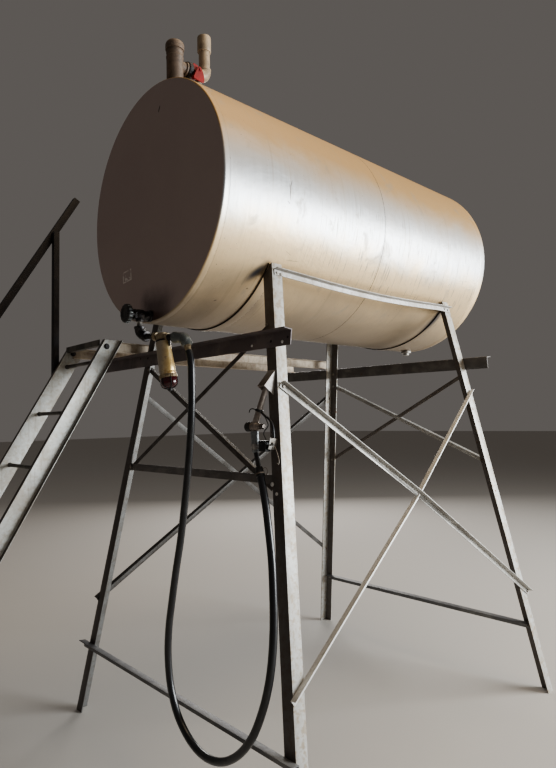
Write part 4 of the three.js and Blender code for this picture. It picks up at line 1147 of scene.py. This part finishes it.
def make_filter():
    top = on_filter(0)
    bm = bmesh.new()
    add_lathe(bm, [(20, 98.4), (21.5, 100), (21.5, 114), (19, 117)], ELBOW, RUN, 8)
    add_lathe(bm, [(19, 176), (21.5, 178), (21.5, 190), (20, 191.8)], ELBOW, RUN, 8)
    add_lathe(bm, [(18, -21), (28, -20), (30.5, -17), (30.5, 9), (29, 11), (29, 13)], top, LEAN, 48)
    piece("filter_head", bm, HEAD_BRASS, "filter")
    lip = [(29, 12.8), (33.5, 13.4), (34, 15), (34, 20), (32, 21)]
    turned("filter_lip", lip, top, LEAN, 56, IRON, "filter")
    can = [(33, 20.5), (35, 22), (35.2, 28), (36.8, 80), (38.6, 138), (39.6, 168), (38.4, 171), (38.4, 174)]
    can += [(40, 177), (40, 183), (39, 185.6)]
    turned("filter_can", can, top, LEAN, 72, CAN, "filter", replaces=True)
    ring = [(41, 186.2), (43.6, 187), (44, 189), (44, 200), (42, 202.5)]
    turned("filter_ring", ring, top, LEAN, 96, HEAD_BRASS, "filter_bowl", lobes=24, depth=0.012)
    bm = bmesh.new()
    add_lathe(bm, [(12, 250), (11, 253), (9, 256), (8, 262), (8, 264), (5, 265)], top, LEAN, 24)
    for arm in spokes(LEAN, 6, 0.35):
        reaches = ((203, 0.0415), (228, 0.0415), (240, 0.0365), (249, 0.0235), (252, 0.011))
        add_sweep(bm, [on_filter(down) + arm * reach for down, reach in reaches], 0.0030, sides=8)
    piece("bowl_cage", bm, BLACK_PARTS, "filter_bowl")
    bowl = [(40, 202), (41.3, 205), (41.3, 226), (40, 233), (36, 240), (29, 245.5), (21, 249), (10, 251.5)]
    turned("bowl_glass", bowl, top, LEAN, 72, BOWL, "filter_bowl", replaces=True, sharp=60)
    bm = bmesh.new()
    bleed = on_filter(16) + RUN_SIDE * 0.041
    screw = [(4.5, -6), (4.5, 6), (6.5, 7), (6.5, 14), (4.5, 15), (4.5, 26), (3, 28)]
    add_lathe(bm, screw, bleed, LEAN, 12)
    add_sweep(bm, [bleed - RUN_SIDE * 0.014, bleed], 0.0045, sides=12)
    piece("filter_bleed", bm, GREY_IRON, "filter")


def make_hose_elbow():
    nipple = [*thread_profile(16.3, 192.5, 208), (16, 209), (16, 220), *thread_profile(16.3, 221, 232)]
    turned("elbow_nipple", nipple, ELBOW, RUN, 32, IRON, "hose_elbow")
    bm = bmesh.new()
    add_lathe(bm, [(22, 227), (27.6, 229), (27.6, 246), (25.8, 250), (25.4, 273)], ELBOW, RUN, 40)
    steps = 18
    bend = bend_points(along(272), RUN, HOSE_DROP, 40, steps)
    shares = [i / steps for i in range(steps + 1)]
    add_sweep(bm, bend, [MM * (25.4 - 2.2 * t + 3.0 * math.sin(math.pi * t)) for t in shares], sides=40)
    end = bend[-1]
    add_lathe(bm, [(23.3, -5), (26.6, -2), (26.6, 11), (24, 12.5)], end, HOSE_DROP, 40)
    piece("elbow_sweep", bm, GREY_IRON, "hose_elbow", replaces=True)
    bm = bmesh.new()
    add_lathe(bm, [(15, 12), (17, 13), (17, 24), (14.5, 26)], end, HOSE_DROP, 6)
    add_lathe(bm, [(14, 20), *thread_profile(14.4, 25, 39.6)], end, HOSE_DROP, 24)
    piece("hose_tail_top", bm, HEAD_BRASS, "hose_elbow")


# Nozzle

NOZZLE_VALVE = at(212, -532, 1692)
NOZZLE_NECK = at(207, -548, 1576)


def finish_node(node, material):
    """A CAD node that is shown as it is, with its own finish."""
    if not NODES[node].material_slots:
        NODES[node].data.materials.append(material)
    for slot in NODES[node].material_slots:
        slot.material = material


def make_nozzle(hose_end, hose_exit):
    finish_node("nozzle", NOZZLE_METAL)
    for node in ("nozzle_cap", "nozzle_tail", "nozzle_lever"):
        finish_node(node, BLACK_PARTS)
    sleeve = [(17.1, -16), (19.8, -14), (20.2, -2), (19.6, 8)]
    sleeve += [(18.6, 12), (18.6, 22), (16.5, 27), (14.8, 28)]
    turned("tail_sleeve", sleeve, hose_end, hose_exit, 36, BLACK_PARTS, "nozzle_tail")
    bm = bmesh.new()
    centre = hose_end + hose_exit * 0.010 + Vector((0.012, -0.025, 0))
    turns = [TAU * i / 16 for i in range(17)]
    across = Vector((0.005, -0.009, 0))
    clip = [centre + across * math.sin(a) + Z_AXIS * 0.016 * math.cos(a) for a in turns]
    add_sweep(bm, clip, 0.0015, sides=8)
    band = [(20.1, -7), (21.2, -7), (21.2, -1), (20.1, -1)]
    add_lathe(bm, band, hose_end, hose_exit, 40, looped=True)
    piece("hose_clip", bm, FASTENER, "nozzle_tail")
    wrap_tape()


def wrap_tape():
    """Creased tape wound round the nozzle's barrel."""
    u, v, w = frame_of(NOZZLE_NECK - NOZZLE_VALVE)
    rings = []
    for k in range(9):
        ring = []
        for i in range(48):
            a = TAU * i / 48
            crease = 1.6 * noise.noise(Vector((5 * math.cos(a), 5 * math.sin(a), k * 0.9)))
            r = (21.6 + crease) * MM
            up = (80 + 3.2 * k + 1.5 * noise.noise(Vector((3 * math.cos(a), 3 * math.sin(a), 9)))) * MM
            ring.append(NOZZLE_VALVE + w * up + u * r * math.cos(a) + v * r * math.sin(a))
        rings.append(ring)
    bm = bmesh.new()
    add_rings(bm, rings)
    piece("barrel_tape", bm, NIPPLE_METAL, "nozzle", sharp=25)


def make_padlock():
    dress("padlock", BLACK_PARTS, 1.5, 40)
    wire = [at(226, -648, 1606), at(228, -658, 1589), at(228, -664, 1576), at(226, -675, 1554)]
    wire += [at(223, -681, 1537), at(222, -677, 1526), at(222, -669, 1530)]
    bm = bmesh.new()
    add_sweep(bm, smooth_path(wire, 5), 0.002, sides=8)
    piece("hasp_wire", bm, FASTENER, "hasp")


# Stage


def make_stage():
    floor = bpy.data.meshes.new("floor")
    reach = 60
    corners = [(-reach, -reach, 0), (reach, -reach, 0), (reach, reach, 0), (-reach, reach, 0)]
    floor.from_pydata(corners, [], [(0, 1, 2, 3)])
    f = Finish("floor_paint", Roughness=0.9)
    floor.materials.append(f.done((0.54, 0.515, 0.48)))
    linked("floor", floor)
    world = bpy.data.worlds.new("studio")
    world.use_nodes = True
    background = world.node_tree.nodes["Background"]
    background.inputs["Color"].default_value = (0.52, 0.48, 0.45, 1)
    background.inputs["Strength"].default_value = 0.235
    bpy.context.scene.world = world
    bpy.context.scene.view_settings.look = "AgX - Medium High Contrast"


def soft_light(name, place, aim, width, height, watts, tint):
    data = bpy.data.lights.new(name, "AREA")
    data.shape = "RECTANGLE"
    data.size = width
    data.size_y = height
    data.energy = watts
    data.color = tint
    lamp = linked(name, data)
    look = (aim - place).to_track_quat("-Z", "Y")
    lamp.matrix_world = Matrix.Translation(place) @ look.to_matrix().to_4x4()


def make_lights():
    middle = at(1150, 0, 2300)
    soft_light("key", Vector((5.6, -6.6, 2.9)), middle, 5.5, 3.0, 1050, (0.95, 0.985, 1.0))
    soft_light("top", Vector((1.2, -1.6, 7.2)), middle, 3.0, 3.0, 120, (1.0, 0.80, 0.56))
    soft_light("back", Vector((6.5, 6.0, 4.0)), middle, 4.0, 3.0, 260, (1.0, 0.97, 0.94))


hose, hose_route = make_hose()
make_tank()
make_stand()
make_ladder()
make_vent()
make_branch_valve()
make_riser()
make_outlet()
make_filter()
make_hose_elbow()
hose_exit = (hose_route[-1] - hose_route[-2]).normalized()
make_nozzle(hose_route[-1], hose_exit)
make_padlock()
make_stage()
make_lights()
